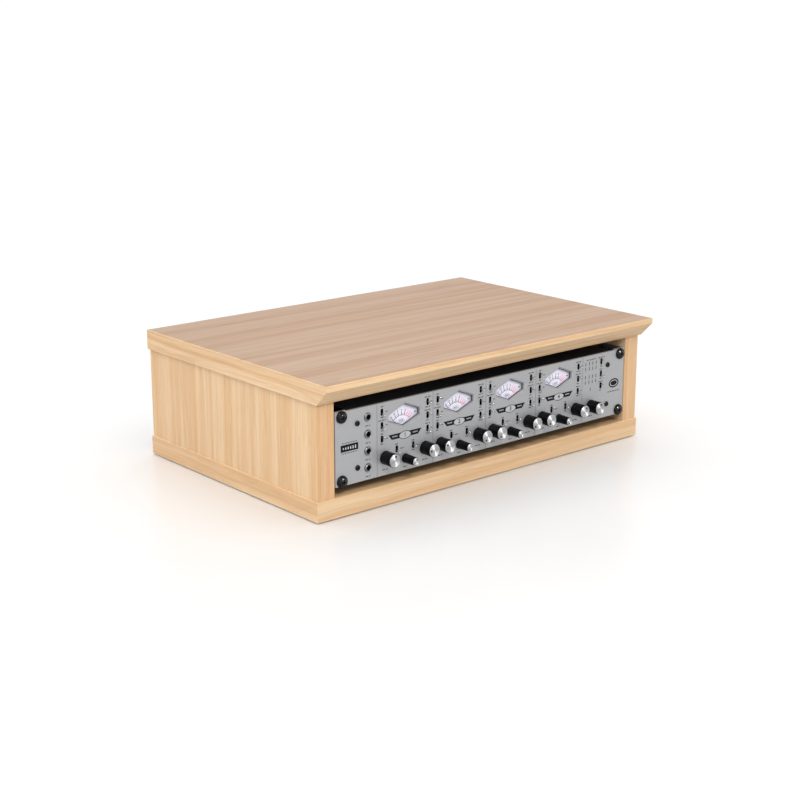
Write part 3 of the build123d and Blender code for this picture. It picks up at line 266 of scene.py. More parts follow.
def fibres(g, place, along, across, detail=3.0, roughness=0.6):
    """Noise drawn out along the grain: cycles per metre along it and across it."""
    return g.noise(g.scaled(place, (along, across, across)), 1.0, detail, roughness)


def wood(name, light, mid, dark, upright=False, shift=0.0, facing="Z", painted_shade=None):
    """Laminated beech: broad soft strips, streaks in patches, flame-shaped growth lines and fine fibres.

    Faces that look along the axis named by facing are multiplied by a painted shade, which on the top also
    carries a cool painted sheen; their laminate is the same as the rest.
    """
    g = Graph(name, IOR=1.45)
    moved = g.node("ShaderNodeVectorMath", operation="ADD")
    g.link(grain_place(g, upright), moved.inputs[0])
    moved.inputs[1].default_value = (shift, shift / 3, shift / 2)
    wander = g.node("ShaderNodeTexNoise")
    g.link(g.scaled(moved.outputs["Vector"], (3.0, 7.0, 7.0)), wander.inputs["Vector"])
    wander.inputs["Detail"].default_value = 1.0
    bent = g.node("ShaderNodeVectorMath", operation="MULTIPLY_ADD")
    g.link(wander.outputs["Color"], bent.inputs[0])
    bent.inputs[1].default_value = (0.0, 0.004, 0.004)
    g.link(moved.outputs["Vector"], bent.inputs[2])
    place = bent.outputs["Vector"]

    strip = fibres(g, place, 0.5, 26.0, 2.0, 0.5)
    patch = fibres(g, place, 1.6, 9.0, 1.0)
    streak = fibres(g, place, 2.6, 150.0, 4.0, 0.62)
    fine = fibres(g, place, 5.0, 620.0, 3.0, 0.7)
    fibre = fibres(g, place, 22.0, 1100.0)
    pore = fibres(g, place, 60.0, 2300.0, 1.0)
    base = g.ramp(g.spread(strip, 0.34, 0.66), [(0.0, mid), (0.35, light), (0.6, mid), (1.0, light)])
    amount = g.maths("MULTIPLY", g.spread(streak, 0.47, 0.72), g.spread(patch, 0.35, 0.65, 0.1, 0.45))
    base = g.mix(amount, base, dark)
    growth = g.maths("FRACT", g.maths("MULTIPLY", fibres(g, place, 0.9, 8.0, 1.0), 15.0), 0.0)
    line = g.maths("MULTIPLY", g.maths("POWER", growth, 5.0), g.spread(patch, 0.4, 0.62, 0.02, 0.26))
    base = g.mix(line, base, dark)
    for layer, darkest in ((fine, 0.8), (fibre, 0.9)):
        stops = [(0.0, (darkest, darkest, darkest, 1.0)), (1.0, (1.0, 1.0, 1.0, 1.0))]
        shade = g.ramp(g.spread(layer, 0.3, 0.7), stops)
        base = g.mix(1.0, base, shade, "MULTIPLY")
    base = g.mix(g.spread(pore, 0.64, 0.72, 0.0, 0.3), base, dark)
    # Painted shade, and on the top a cool painted sheen: the faces along the facing axis are darkened by the
    # colour given for them.
    if painted_shade:
        normal = g.node("ShaderNodeSeparateXYZ")
        g.link(g.node("ShaderNodeNewGeometry").outputs["True Normal"], normal.inputs["Vector"])
        shaded_faces = g.maths("GREATER_THAN", g.maths("ABSOLUTE", normal.outputs[facing], 0.0), 0.9)
        base = g.mix(shaded_faces, base, g.mix(1.0, base, painted_shade, "MULTIPLY"))
    g.set("Base Color", base)
    g.set("Roughness", g.spread(fibre, 0.3, 0.7, 0.4, 0.5))
    g.bump(fibre, 0.1, 0.00012)
    return g.material


# ---- Metals, plastics and print --------------------------------------------------------------


def brushed(name, colour, roughness, streaks=1.0, metallic=0.9):
    """Anodised sheet with fine brushing along X and a faint cloudiness."""
    g = Graph(name, Metallic=metallic, Anisotropic=0.3)
    place = g.place()
    lines = g.noise(g.scaled(place, (12.0, 400.0, 2600.0)), 1.0, 4.0, 0.7)
    cloud = g.noise(place, 9.0, 2.0)
    darker = tuple(c * 0.86 for c in colour[:3]) + (1.0,)
    base = g.mix(g.spread(lines, 0.3, 0.7, 0.0, 0.5 * streaks), colour, darker)
    base = g.mix(g.spread(cloud, 0.35, 0.7, 0.0, 0.25), base, darker)
    g.set("Base Color", base)
    g.set("Roughness", g.spread(lines, 0.3, 0.7, roughness - 0.04, roughness + 0.06))
    g.bump(lines, 0.1 * streaks, 0.00005)
    return g.material


def coated(name, colour, roughness, metallic=0.0, grain=1400.0, relief=0.15, gloss=0.5):
    """A solid finish with fine texture, uneven gloss and slightly paler patches."""
    g = Graph(name, Metallic=metallic, Specular_IOR_Level=gloss)
    place = g.place()
    fine = g.noise(place, grain, 3.0, 0.6)
    broad = g.noise(place, 40.0, 3.0)
    paler = tuple(c * 1.3 + 0.004 for c in colour[:3]) + (1.0,)
    base = g.mix(g.spread(fine, 0.35, 0.7, 0.0, 0.35), colour, paler)
    base = g.mix(g.spread(broad, 0.5, 0.8, 0.0, 0.25), base, paler)
    g.set("Base Color", base)
    g.set("Roughness", g.spread(broad, 0.3, 0.7, roughness - 0.05, roughness + 0.07))
    g.bump(fine, relief, 0.00004)
    return g.material


def spun(name, colour, roughness):
    """Turned metal: rings round the piece's own Y axis, which fan its highlights out from the middle."""
    g = Graph(name, Metallic=1.0, Anisotropic=0.95, Anisotropic_Rotation=0.25)
    separate = g.node("ShaderNodeSeparateXYZ")
    g.link(g.place(), separate.inputs["Vector"])
    flat = g.node("ShaderNodeCombineXYZ")
    g.link(separate.outputs["X"], flat.inputs["X"])
    g.link(separate.outputs["Z"], flat.inputs["Z"])
    length = g.node("ShaderNodeVectorMath", operation="LENGTH")
    g.link(flat.outputs["Vector"], length.inputs[0])
    rings = g.node("ShaderNodeTexNoise", noise_dimensions="1D")
    g.link(length.outputs["Value"], rings.inputs["W"])
    rings.inputs["Scale"].default_value = 5200.0
    rings.inputs["Detail"].default_value = 2.0
    darker = tuple(c * 0.8 for c in colour[:3]) + (1.0,)
    g.set("Base Color", g.mix(g.spread(rings.outputs["Fac"], 0.35, 0.65, 0.0, 0.45), colour, darker))
    g.set("Roughness", g.spread(rings.outputs["Fac"], 0.35, 0.65, roughness, roughness + 0.1))
    tangent = g.node("ShaderNodeTangent", direction_type="RADIAL", axis="Y")
    g.set("Tangent", tangent.outputs["Tangent"])
    return g.material


def window():
    """Clear acrylic, with the faintest haze."""
    g = Graph("meter_acrylic", Roughness=0.03, IOR=1.49, Alpha=0.16)
    haze = g.noise(g.place(), 60.0, 2.0)
    g.set("Base Color", g.mix(g.spread(haze, 0.3, 0.7, 0.0, 1.0), tone(238, 236, 246), tone(224, 224, 238)))
    g.material.surface_render_method = "BLENDED"
    return g.material


def paper(name, colour):
    """Printed card with a slight mottle."""
    g = Graph(name, Roughness=0.6)
    mottle = g.noise(g.place(), 700.0, 4.0, 0.6)
    darker = tuple(c * 0.93 for c in colour[:3]) + (1.0,)
    g.set("Base Color", g.mix(g.spread(mottle, 0.35, 0.7), colour, darker))
    g.bump(mottle, 0.08, 0.00003)
    return g.material


def ink(name, colour, roughness=0.5):
    """Screen-printed ink, a little uneven in cover."""
    g = Graph(name, Roughness=roughness, Specular_IOR_Level=0.15)
    cover = g.noise(g.place(), 1600.0, 3.0)
    paler = tuple(c * 1.25 + 0.004 for c in colour[:3]) + (1.0,)
    g.set("Base Color", g.mix(g.spread(cover, 0.4, 0.75), colour, paler))
    return g.material


BEECH = (tone(243, 211, 170), tone(232, 191, 145), tone(208, 155, 104))
# Painted light for the beech: the first colour darkens the top board's up- and down-facing faces and gives
# them a cool painted sheen; the second is painted shade on the side panels' front and back edges.
TOP_PAINTED_SHADE_AND_SHEEN = (0.57, 0.54, 0.61, 1.0)
EDGE_PAINTED_SHADE = (0.92, 0.84, 0.77, 1.0)
MATERIALS = {
    "top": wood("beech_top", *BEECH, facing="Z", painted_shade=TOP_PAINTED_SHADE_AND_SHEEN),
    "base": wood("beech_base", *BEECH, shift=0.37),
    "side_left": wood("beech_side_left", *BEECH, upright=True, shift=0.83, facing="Y", painted_shade=EDGE_PAINTED_SHADE),
    "side_right": wood("beech_side_right", *BEECH, upright=True, shift=1.71, facing="Y", painted_shade=EDGE_PAINTED_SHADE),
    "panel": brushed("anodised_panel", (0.525, 0.53, 0.54, 1.0), 0.5, metallic=0.6),
    "chassis": coated("powder_coat_black", (0.006, 0.006, 0.007, 1.0), 0.5, relief=0.3, gloss=0.3),
    "rear": coated("rear_paint", (0.014, 0.014, 0.016, 1.0), 0.45, relief=0.3, gloss=0.4),
    "black_metal": coated("black_oxide", (0.002, 0.002, 0.003, 1.0), 0.26, relief=0.05, gloss=0.25),
    "screw": coated("screw_black", (0.002, 0.002, 0.003, 1.0), 0.13, relief=0.03, gloss=0.4),
    "steel": brushed("zinc_plate", (0.6, 0.6, 0.58, 1.0), 0.34),
    "rubber": coated("felt_pad", (0.03, 0.03, 0.03, 1.0), 0.8, relief=0.5),
    "plastic": coated("black_plastic", (0.008, 0.008, 0.009, 1.0), 0.45, gloss=0.3),
    # Near-black with hardly any gloss: the toggle bodies' black plastic made darker than the plastic above as
    # painted shade, and the painted shade of the slot sleeves and window gaskets.
    "hollow": coated("shade_black", (0.001, 0.001, 0.001, 1.0), 0.6, gloss=0.06),
    "case": coated("meter_plastic", (0.5, 0.5, 0.52, 1.0), 0.5),
    "grip": coated("knob_black", (0.002, 0.002, 0.003, 1.0), 0.34, relief=0.04, gloss=0.1),
    "cap": spun("spun_aluminium", (0.74, 0.74, 0.75, 1.0), 0.4),
    "chrome": coated("lever_chrome", (0.6, 0.6, 0.62, 1.0), 0.27, metallic=1.0, relief=0.02),
    "nickel": coated("nickel_ring", (0.44, 0.44, 0.45, 1.0), 0.34, metallic=1.0, relief=0.04),
    "board": coated("solder_mask", (0.01, 0.12, 0.05, 1.0), 0.4, grain=500.0),
    "winding": coated("transformer_tape", (0.25, 0.17, 0.03, 1.0), 0.4, grain=300.0),
    "dial": paper("dial_card", tone(222, 219, 230)),
    "window": window(),
    "needle": coated("needle_black", (0.01, 0.01, 0.01, 1.0), 0.5),
    "bezel": coated("bezel_paint", (0.28, 0.28, 0.3, 1.0), 0.45),
    "ink_black": ink("ink_black", (0.004, 0.004, 0.005, 1.0)),
    "ink_grey": ink("ink_grey", (0.02, 0.02, 0.022, 1.0)),
    "ink_pale": ink("ink_pale", (0.42, 0.42, 0.43, 1.0)),
    "ink_red": ink("ink_red", tone(212, 84, 112)),
    "silver": brushed("silver_print", (0.525, 0.53, 0.54, 1.0), 0.5, metallic=0.6),
}

CAD_FINISH = {
    "cabinet_top": "top", "cabinet_base": "base", "cabinet_side_left": "side_left",
    "cabinet_side_right": "side_right", "cabinet_screws": "steel", "cam_locks": "steel",
    "glide_pads": "rubber", "rack_rails": "steel", "rail_screws": "steel", "rack_screws": "screw",
    "cup_washers": "black_metal", "front_panel": "panel", "panel_screws": "screw",
    "chassis_tray": "chassis", "chassis_cover": "chassis", "rear_panel": "rear",
    "rear_connectors": "plastic", "power_inlet": "plastic", "power_transformer": "winding",
    "circuit_boards": "board", "potentiometers": "steel", "toggle_bodies": "hollow",
    "meter_cases": "case", "meter_dials": "dial", "meter_windows": "window",
    "meter_needle_ch1": "needle", "meter_needle_ch2": "needle", "meter_needle_ch3": "needle",
    "meter_needle_ch4": "needle",
}


def finish_cad():
    for node, finish in CAD_FINISH.items():
        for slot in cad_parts[node].material_slots:
            slot.material = MATERIALS[finish]


# ---- Mesh helpers -----------------------------------------------------------------------------


def piece(name, bm, finish, body=BODY, sharp=32.0, origin=None):
    """Make an object of the mesh, shade it, and let it ride on its body."""
    bmesh.ops.recalc_face_normals(bm, faces=bm.faces)
    if origin is not None:
        bmesh.ops.translate(bm, verts=bm.verts, vec=-origin)
    mesh = bpy.data.meshes.new(name)
    bm.to_mesh(mesh)
    bm.free()
    mesh.shade_smooth()
    mesh.set_sharp_from_angle(angle=math.radians(sharp))
    mesh.materials.append(MATERIALS[finish])
    obj = bpy.data.objects.new(name, mesh)
    bpy.context.scene.collection.objects.link(obj)
    if origin is not None:
        obj.location = origin
    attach(obj, body)
    return obj


def lathe(bm, profile, centre, turn=None, segments=64):
    """Turn a profile of (reach, radius) in millimetres round the axis that faces out of the panel."""
    rings = []
    for reach, radius in profile:
        if radius == 0:
            rings.append([bm.verts.new((0, -reach * MM, 0))])
            continue
        steps = [2 * math.pi * k / segments for k in range(segments)]
        rings.append(
            [bm.verts.new((radius * MM * math.cos(a), -reach * MM, radius * MM * math.sin(a))) for a in steps]
        )
    for first, second in zip(rings, rings[1:]):
        for k in range(segments):
            corners = [first[k % len(first)], first[(k + 1) % len(first)]]
            corners += [second[(k + 1) % len(second)], second[k % len(second)]]
            bm.faces.new(list(dict.fromkeys(corners)))
    verts = [v for ring in rings for v in ring]
    if turn is not None:
        bmesh.ops.rotate(bm, verts=verts, cent=(0, 0, 0), matrix=turn)
    bmesh.ops.translate(bm, verts=verts, vec=centre)


def prism(bm, outline, depth=0.0, thick=PRINT, place=on_panel):
    """A closed flat mark, on the front panel unless place says otherwise. Depth is of its back."""
    back = [bm.verts.new(place(x, drop, depth)) for x, drop in outline]
    front = [bm.verts.new(place(x, drop, depth - thick)) for x, drop in outline]
    bm.faces.new(back[::-1])
    bm.faces.new(front)
    for k in range(len(outline)):
        n = (k + 1) % len(outline)
        bm.faces.new((back[k], back[n], front[n], front[k]))


def hoop(bm, outer, inner, depth=0.0, thick=PRINT, place=on_panel):
    """A closed flat frame between two outlines with equal numbers of corners, placed as a prism is."""
    loops = []
    for outline, level in ((outer, depth), (outer, depth - thick), (inner, depth - thick), (inner, depth)):
        loops.append([bm.verts.new(place(x, drop, level)) for x, drop in outline])
    for first, second in zip(loops, loops[1:] + loops[:1]):
        for k in range(len(outer)):
            n = (k + 1) % len(outer)
            bm.faces.new((first[k], first[n], second[n], second[k]))


def rectangle(x, drop, width, height):
    return [
        (x - width / 2, drop - height / 2),
        (x + width / 2, drop - height / 2),
        (x + width / 2, drop + height / 2),
        (x - width / 2, drop + height / 2),
    ]


def ellipse(x, drop, width, height, steps=56):
    angles = [2 * math.pi * k / steps for k in range(steps)]
    return [(x + width / 2 * math.cos(a), drop + height / 2 * math.sin(a)) for a in angles]


def bar(x, drop, angle, start, end, width):
    """A radial bar round (x, drop); angle is clockwise from straight up, in degrees."""
    a = math.radians(angle)
    ahead, across = (math.sin(a), -math.cos(a)), (math.cos(a), math.sin(a))
    corners = [(start, -width / 2), (end, -width / 2), (end, width / 2), (start, width / 2)]
    return [(x + ahead[0] * r + across[0] * w, drop + ahead[1] * r + across[1] * w) for r, w in corners]


def caption(bm, x, drop, width, height=1.3, upright=False, where=on_panel):
    """A row of small plain blocks that stands for a line of small print."""
    step = height * 0.78
    count = max(2, round(width / step))
    for k in range(count):
        if k % 5 == 4:
            continue
        offset = (k - (count - 1) / 2) * step
        tall = height * (1.0, 0.8, 1.0, 0.86)[k % 4]
        place = (x, drop + offset) if upright else (x + offset, drop)
        size = (tall, step * 0.76) if upright else (step * 0.76, tall)
        prism(bm, rectangle(*place, *size), place=where)


def hexagon(x, margin):
    """A meter window's outline, grown by margin."""
    w, h, s = WINDOW_HALF_WIDTH + margin, WINDOW_HALF_HEIGHT + margin, WINDOW_SIDE + margin / 2
    corners = [(-w, -s), (0, -h), (w, -s), (w, s), (0, h), (-w, s)]
    return [(x + right, WINDOW_DROP + down) for right, down in corners]


def digits(bm, text, x, drop, size, depth=0.0, thick=PRINT, weight=0.0):
    """Plain numerals, cut from Blender's own font. Weight thickens the strokes, as a part of the size."""
    curve = bpy.data.curves.new("numerals", "FONT")
    curve.body = text
    curve.size = size * MM * 1.35
    curve.align_x = "CENTER"
    curve.align_y = "CENTER"
    curve.extrude = thick * MM / 2
    curve.offset = size * MM * weight
    curve.resolution_u = 3
    holder = bpy.data.objects.new("numerals", curve)
    bpy.context.scene.collection.objects.link(holder)
    bpy.context.view_layer.update()
    mesh = bpy.data.meshes.new_from_object(holder.evaluated_get(bpy.context.evaluated_depsgraph_get()))
    bpy.data.objects.remove(holder)
    centre = on_panel(x, drop, depth - thick / 2)
    mesh.transform(Matrix.Translation(centre) @ Matrix.Rotation(math.pi / 2, 4, "X"))
    bm.from_mesh(mesh)
    bpy.data.meshes.remove(mesh)
    bmesh.ops.remove_doubles(bm, verts=bm.verts, dist=1e-7)


# ---- Knobs, levers and jacks ---------------------------------------------------------------------


def knob_profile(size):
    h, grip, waist = size["height"], size["grip"], size["waist"]
    seat = size["cap"] + 0.1
    return [
        (h - 0.85, 0), (h - 0.85, seat), (h - 0.08, seat), (h, seat + 0.08), (h - 0.05, seat + 0.2),
        (h - 0.25, seat + 0.29), (h * 0.6, (seat + 0.3 + waist) / 2), (3.0, waist), (2.75, waist),
        (2.6, waist + 0.08), (2.45, grip - 0.06), (2.3, grip), (0.95, grip), (0.7, grip - 0.25),
        (0.7, size["hollow"]), (2.7, size["hollow"]), (2.7, size["shaft"]), (-SHAFT_REACH, size["shaft"]),
        (-SHAFT_REACH, 0),
    ]


def cap_profile(size):
    h, r = size["height"], size["cap"]
    rings = [(h + CAP_PROUD - 0.012 * (k % 2), r - 0.35 - 0.3 * k) for k in range(int((r - 0.6) / 0.3))]
    return [(h - 0.8, 0), (h - 0.8, r), (h + 0.05, r), (h + 0.26, r - 0.1), *rings, (h + CAP_PROUD, 0)]


def knob(node, size, dot):
    """A knob's grip, spun cap and dot. Dot is its angle at rest, clockwise from straight up."""
    low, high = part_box(node)
    centre = Vector(((low.x + high.x) / 2, FACE, (low.z + high.z) / 2))
    grip = bmesh.new()
    lathe(grip, knob_profile(size), centre, segments=96)
    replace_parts(piece(f"{node}_grip", grip, "grip", node), node)
    cap = bmesh.new()
    lathe(cap, cap_profile(size), centre, segments=96)
    piece(f"{node}_cap", cap, "cap", node, origin=centre)
    angle = math.radians(dot)
    spot = centre + Vector((math.sin(angle), 0, math.cos(angle))) * size["dot"] * MM
    front = size["height"] + CAP_PROUD
    width = size["mark"]
    profile = [
        (front - 0.3, 0), (front - 0.3, width), (front + 0.01, width), (front + 0.03, width - 0.1),
        (front + 0.03, 0),
    ]
    mark = bmesh.new()
    lathe(mark, profile, spot, segments=32)
    piece(f"{node}_dot", mark, "ink_black", node)


def knobs():
    for kind, angles in DOTS.items():
        for channel, angle in enumerate(angles, start=1):
            knob(f"{kind}_ch{channel}", SMALL if kind == "knob_trim" else LARGE, angle)
    knob("knob_master", LARGE, MASTER_DOT)


def lever_profile():
    """A pivot ball, a slim neck that swells towards its end, and a rounded tip."""
    centre = LEVER_LENGTH - LEVER_TIP
    slopes = [math.radians(t) for t in (-15, 5, 25, 45, 65, 80)]
    tip = [(centre + LEVER_TIP * math.sin(a), LEVER_TIP * math.cos(a)) for a in slopes]
    slim = LEVER_NECK - 0.15
    return [
        (-1.1, 0), (-0.8, 0.75), (0.0, 1.1), (0.7, LEVER_NECK + 0.05), (1.2, slim), (7.0, slim),
        (9.5, LEVER_NECK), (11.0, LEVER_NECK + 0.2), *tip, (LEVER_LENGTH, 0),
    ]


def lever_places(offset, channels):
    return [CHANNELS[c - 1] + offset for c in channels] or [offset]


def slot_outline(x, drop, margin):
    """A lever slot with round ends, grown by margin."""
    radius, straight = SLOT_WIDTH / 2 + margin, (SLOT_HEIGHT - SLOT_WIDTH) / 2
    steps = [math.pi * k / 10 for k in range(11)]
    upper = [(x + radius * math.cos(a), drop - straight - radius * math.sin(a)) for a in steps]
    lower = [(x - radius * math.cos(a), drop + straight + radius * math.sin(a)) for a in steps]
    return upper + lower


def slot_shade_liners():
    """Black sleeves of painted shade that line the lever slots, and the thin black rims round them."""
    bm = bmesh.new()
    back, length = LINER_BACK, LINER_LENGTH
    for offset, drop, channels, _ in LEVERS.values():
        for x in lever_places(offset, channels):
            # Painted shade: a black sleeve on the slot's walls, where the slot's shade falls.
            hoop(bm, slot_outline(x, drop, -0.02), slot_outline(x, drop, -0.2), back, length)
            hoop(bm, slot_outline(x, drop, 0.3), slot_outline(x, drop, 0.02))
    piece("slot_shade_liners", bm, "hollow")


def levers():
    """Each row of bats as one piece, tilted to its rest position."""
    for node, (offset, drop, channels, rest) in LEVERS.items():
        bm = bmesh.new()
        turn = Matrix.Rotation(-math.radians(LEVER_TILT * rest), 3, "X")
        for x in lever_places(offset, channels):
            lathe(bm, lever_profile(), on_panel(x, drop, LEVER_PIVOT), turn, segments=28)
        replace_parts(piece(node + "_bats", bm, "chrome", node, sharp=50.0), node)


def jacks():
    """Each jack's bright bush and ring nut, a black washer under the nut that is painted shadow round it, and
    its black barrel and bore.
    """
    rings, cores = bmesh.new(), bmesh.new()
    bush = [
        (-4.4, 3.35), (1.5, 3.35), (1.6, 3.45), (1.6, 3.7), (1.45, 3.85), (0.5, 3.85), (0.5, 4.15),
        (1.0, 4.15), (1.1, 4.25), (1.1, 4.6), (0.9, 4.8), (0.35, 4.8), (0.35, 4.2), (-4.4, 4.2),
        (-4.4, 3.35),
    ]
    for drop in JACK_DROPS:
        centre = on_panel(JACK_X, drop)
        lathe(rings, bush, centre)
        # Black washer under the nut: painted shadow, a dark outline where the nut's shade falls.
        lathe(cores, [(0.0, 4.21), (0.0, 5.3), (0.25, 5.3), (0.34, 5.2), (0.34, 4.21), (0.0, 4.21)], centre)
        lathe(cores, [(1.35, 3.2), (1.35, 3.34), (-4.5, 3.34), (-4.5, 5.8), (-26.4, 5.8), (-26.4, 0)], centre)
        lathe(cores, [(1.35, 3.2), (-24.5, 3.2), (-24.5, 0)], centre)
    bmesh.ops.remove_doubles(cores, verts=cores.verts, dist=1e-6)
    bmesh.ops.remove_doubles(rings, verts=rings.verts, dist=1e-6)
    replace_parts(piece("jack_rings", rings, "nickel"), "jack_sockets")
    piece("jack_cores", cores, "plastic")


# ---- Print on the panel ------------------------------------------------------------------------------

# Captions beside the levers: drop and width of each.
LEFT_CAPTIONS = [(4.6, 4.0), (17.2, 4.0), (21.0, 11.0), (33.4, 3.6), (37.2, 4.6), (49.2, 5.0)]
RIGHT_CAPTIONS = [(5.0, 9.5), (17.2, 7.0), (21.0, 9.0), (33.4, 4.6), (37.2, 7.5), (49.4, 5.6)]
MASTER_CAPTIONS = [(17.2, 4.4), (21.2, 6.0), (33.4, 5.4), (37.8, 7.0), (49.4, 5.0)]
KNOB_CAPTION_DROP = 81.0
LIST_COLUMNS, LIST_DROPS = (409.5, 416.4, 422.6, 429.0), (10.6, 17.4, 28.2, 35.2)
BADGE_X, BADGE_DROP = 20.2, 43.7
OVAL_X, OVAL_DROP = 464.2, 44.2
PLATE_DROP = 44.7


def divider_lines(bm):
    for x in DIVIDERS:
        prism(bm, rectangle(x, 44.0, 0.32, 86.0))


def knob_scale(bm, x, drop, radius, length):
    for k in range(11):
        prism(bm, bar(x, drop, -150 + 30 * k, radius, radius + length, 0.28))


def channel_captions(bm, x):
    left, right = x - TOGGLE_SIDE, x + TOGGLE_SIDE
    for drop, width in LEFT_CAPTIONS:
        caption(bm, left, drop, width)
    for drop, width in RIGHT_CAPTIONS:
        caption(bm, right, drop, width)
    for drop in (11.2, 27.3, 43.5):
        caption(bm, left + 7.4, drop, 4.0, 1.1)
        caption(bm, right + 6.0, drop, 3.0, 1.1)
    for side in (-1, 1):
        caption(bm, x + side * TOGGLE_LOW, 53.6, 5.4)
        caption(bm, x + side * KNOB_SIDE, KNOB_CAPTION_DROP, 8.4)
    caption(bm, x - 4.2, 60.0, 6.2)
    caption(bm, x + TOGGLE_LOW, 65.6, 5.0)
    caption(bm, x, 83.8, 5.6)
    caption(bm, x + TOGGLE_LOW + 6.0, 60.6, 3.0, 1.1)


def grey_print():
    bm = bmesh.new()
    divider_lines(bm)
    for x in CHANNELS:
        channel_captions(bm, x)
        for side in (-1, 1):
            knob_scale(bm, x + side * KNOB_SIDE, KNOB_DROP, 10.0, 1.3)
        knob_scale(bm, x, SMALL_KNOB_DROP, 7.2, 1.0)
    knob_scale(bm, *MASTER_KNOB, 10.0, 1.3)
    for drop in JACK_DROPS:
        caption(bm, JACK_X, drop + 10.3, 7.4)
    for drop in (37.6, 49.6):
        caption(bm, BADGE_X, drop, 22.0, 1.0)
    for x, width in ((419.5, 17.0), (439.0, 12.0)):
        caption(bm, x, 5.5, width)
    for x in LIST_COLUMNS:
        for drop in LIST_DROPS:
            caption(bm, x, drop, 4.4, 1.5, upright=True)
    caption(bm, 419.3, 45.5, 5.0, 1.3, upright=True)
    for drop, width in MASTER_CAPTIONS:
        caption(bm, MASTER_TOGGLE, drop, width)
    caption(bm, MASTER_KNOB[0], KNOB_CAPTION_DROP, 8.0)
    caption(bm, OVAL_X, 55.0, 23.0, 1.2)
    piece("panel_print_grey", bm, "ink_grey")


def band(x):
    """The black band behind a channel's number plate, wider at the top."""
    return [(x - 25.3, 40.9), (x + 25.3, 40.9), (x + 20.2, 47.3), (x - 20.2, 47.3)]


def black_print():
    bm = bmesh.new()
    for x in CHANNELS:
        prism(bm, band(x))
        hoop(bm, ellipse(x, PLATE_DROP, 18.6, 9.8), ellipse(x, PLATE_DROP, 17.2, 8.4), thick=3 * PRINT)
        digits(bm, str(CHANNELS.index(x) + 1), x, PLATE_DROP, 5.4, -2 * PRINT, weight=0.02)
    prism(bm, rectangle(BADGE_X, BADGE_DROP, 25.4, 8.3))
    prism(bm, ellipse(OVAL_X, OVAL_DROP, 19.0, 12.4))
    piece("panel_print_black", bm, "ink_black")


def pale_print():
    """The light details on the black print: row marks, level bars and a plain oval ring."""
    bm = bmesh.new()
    for x in CHANNELS:
        for side in (-1, 1):
            for k in range(5):
                prism(bm, rectangle(x + side * (12.4 + 1.6 * k), 43.9, 0.8, 1.6 - 0.3 * (k % 2)), -PRINT)
    for k in range(6):
        prism(bm, rectangle(11.4 + 3.5 * k, 43.9, 1.4, 2.0 + 0.4 * k), -PRINT)
    hoop(bm, ellipse(OVAL_X, OVAL_DROP, 14.6, 8.4), ellipse(OVAL_X, OVAL_DROP, 13.0, 6.8), -PRINT)
    piece("panel_print_pale", bm, "ink_pale")


def number_plates():
    bm = bmesh.new()
    for x in CHANNELS:
        prism(bm, ellipse(x, PLATE_DROP, 17.4, 8.6), 0.0, 2 * PRINT)
    piece("number_plates", bm, "silver")


# ---- Meter dials ---------------------------------------------------------------------------------------


def arc(x, start, end, radius, width, steps=18):
    angles = [math.radians(start + (end - start) * k / steps) for k in range(steps + 1)]
    near = [(x + radius * math.sin(a), PIVOT_DROP - radius * math.cos(a)) for a in angles]
    far = [(x + (radius + width) * math.sin(a), PIVOT_DROP - (radius + width) * math.cos(a)) for a in angles]
    return near + far[::-1]


def dial_marks(bm, x, angles, labels, start, end, width=1.1):
    for angle, label in zip(angles, labels):
        prism(bm, bar(x, PIVOT_DROP, angle, start, end, width), DIAL_DEPTH)
        if label:
            right = DIAL_NUMBER_RADIUS * math.sin(math.radians(angle))
            up = DIAL_NUMBER_RADIUS * math.cos(math.radians(angle))
            digits(bm, label, x + right, PIVOT_DROP - up, DIAL_NUMBER_SIZE, DIAL_DEPTH, weight=0.03)


def dial_prints():
    """Each dial's scale: dark up to zero, red past it, with its numbers and two plain symbols."""
    dark, red = bmesh.new(), bmesh.new()
    for x in CHANNELS:
        prism(dark, arc(x, -46, 20, DIAL_ARC, 0.6), DIAL_DEPTH)
        dial_marks(dark, x, (-46, -30, -15, 1, 16), ("20", "10", "5", "2", "0"), 16.2, 20.0, 1.3)
        dial_marks(dark, x, (-38, -22, -7, 8), ("", "", "", ""), 16.2, 18.6, 0.7)
        prism(red, arc(x, 20, 48, DIAL_ARC, 1.2), DIAL_DEPTH)
        dial_marks(red, x, (28, 37, 46), ("1", "2", "3"), 16.9, 20.4, 1.3)
        for k in range(3):
            prism(dark, rectangle(x - 2.1 + 2.1 * k, 29.0, 1.3, 2.6), DIAL_DEPTH)
        hoop(dark, ellipse(x, 29.0, 10.0, 5.0), ellipse(x, 29.0, 9.2, 4.2), DIAL_DEPTH)
        prism(dark, rectangle(x + 21.0, 21.7, 3.4, 1.6), DIAL_DEPTH)
    piece("dial_print_black", dark, "ink_black")
    piece("dial_print_red", red, "ink_red")


def meter_bezels():
    """A pale liner round each window opening, and the dark gasket on the window's edge, partly a gasket and
    partly painted shade along the opening's rim.
    """
    liners, gaskets = bmesh.new(), bmesh.new()
    for x in CHANNELS:
        hoop(liners, hexagon(x, -0.02), hexagon(x, -0.45), WINDOW_DEPTH - 0.02, WINDOW_DEPTH - BEVEL_DEPTH)
        # Partly painted shade: the dark gasket darkens the rim of the opening, where its shade falls.
        hoop(gaskets, hexagon(x, -0.46), hexagon(x, -1.2), WINDOW_DEPTH - 0.02, 0.3)
    piece("meter_liners", liners, "bezel")
    piece("meter_gaskets_and_shade", gaskets, "hollow")


# ---- Rear sockets ------------------------------------------------------------------------------------------


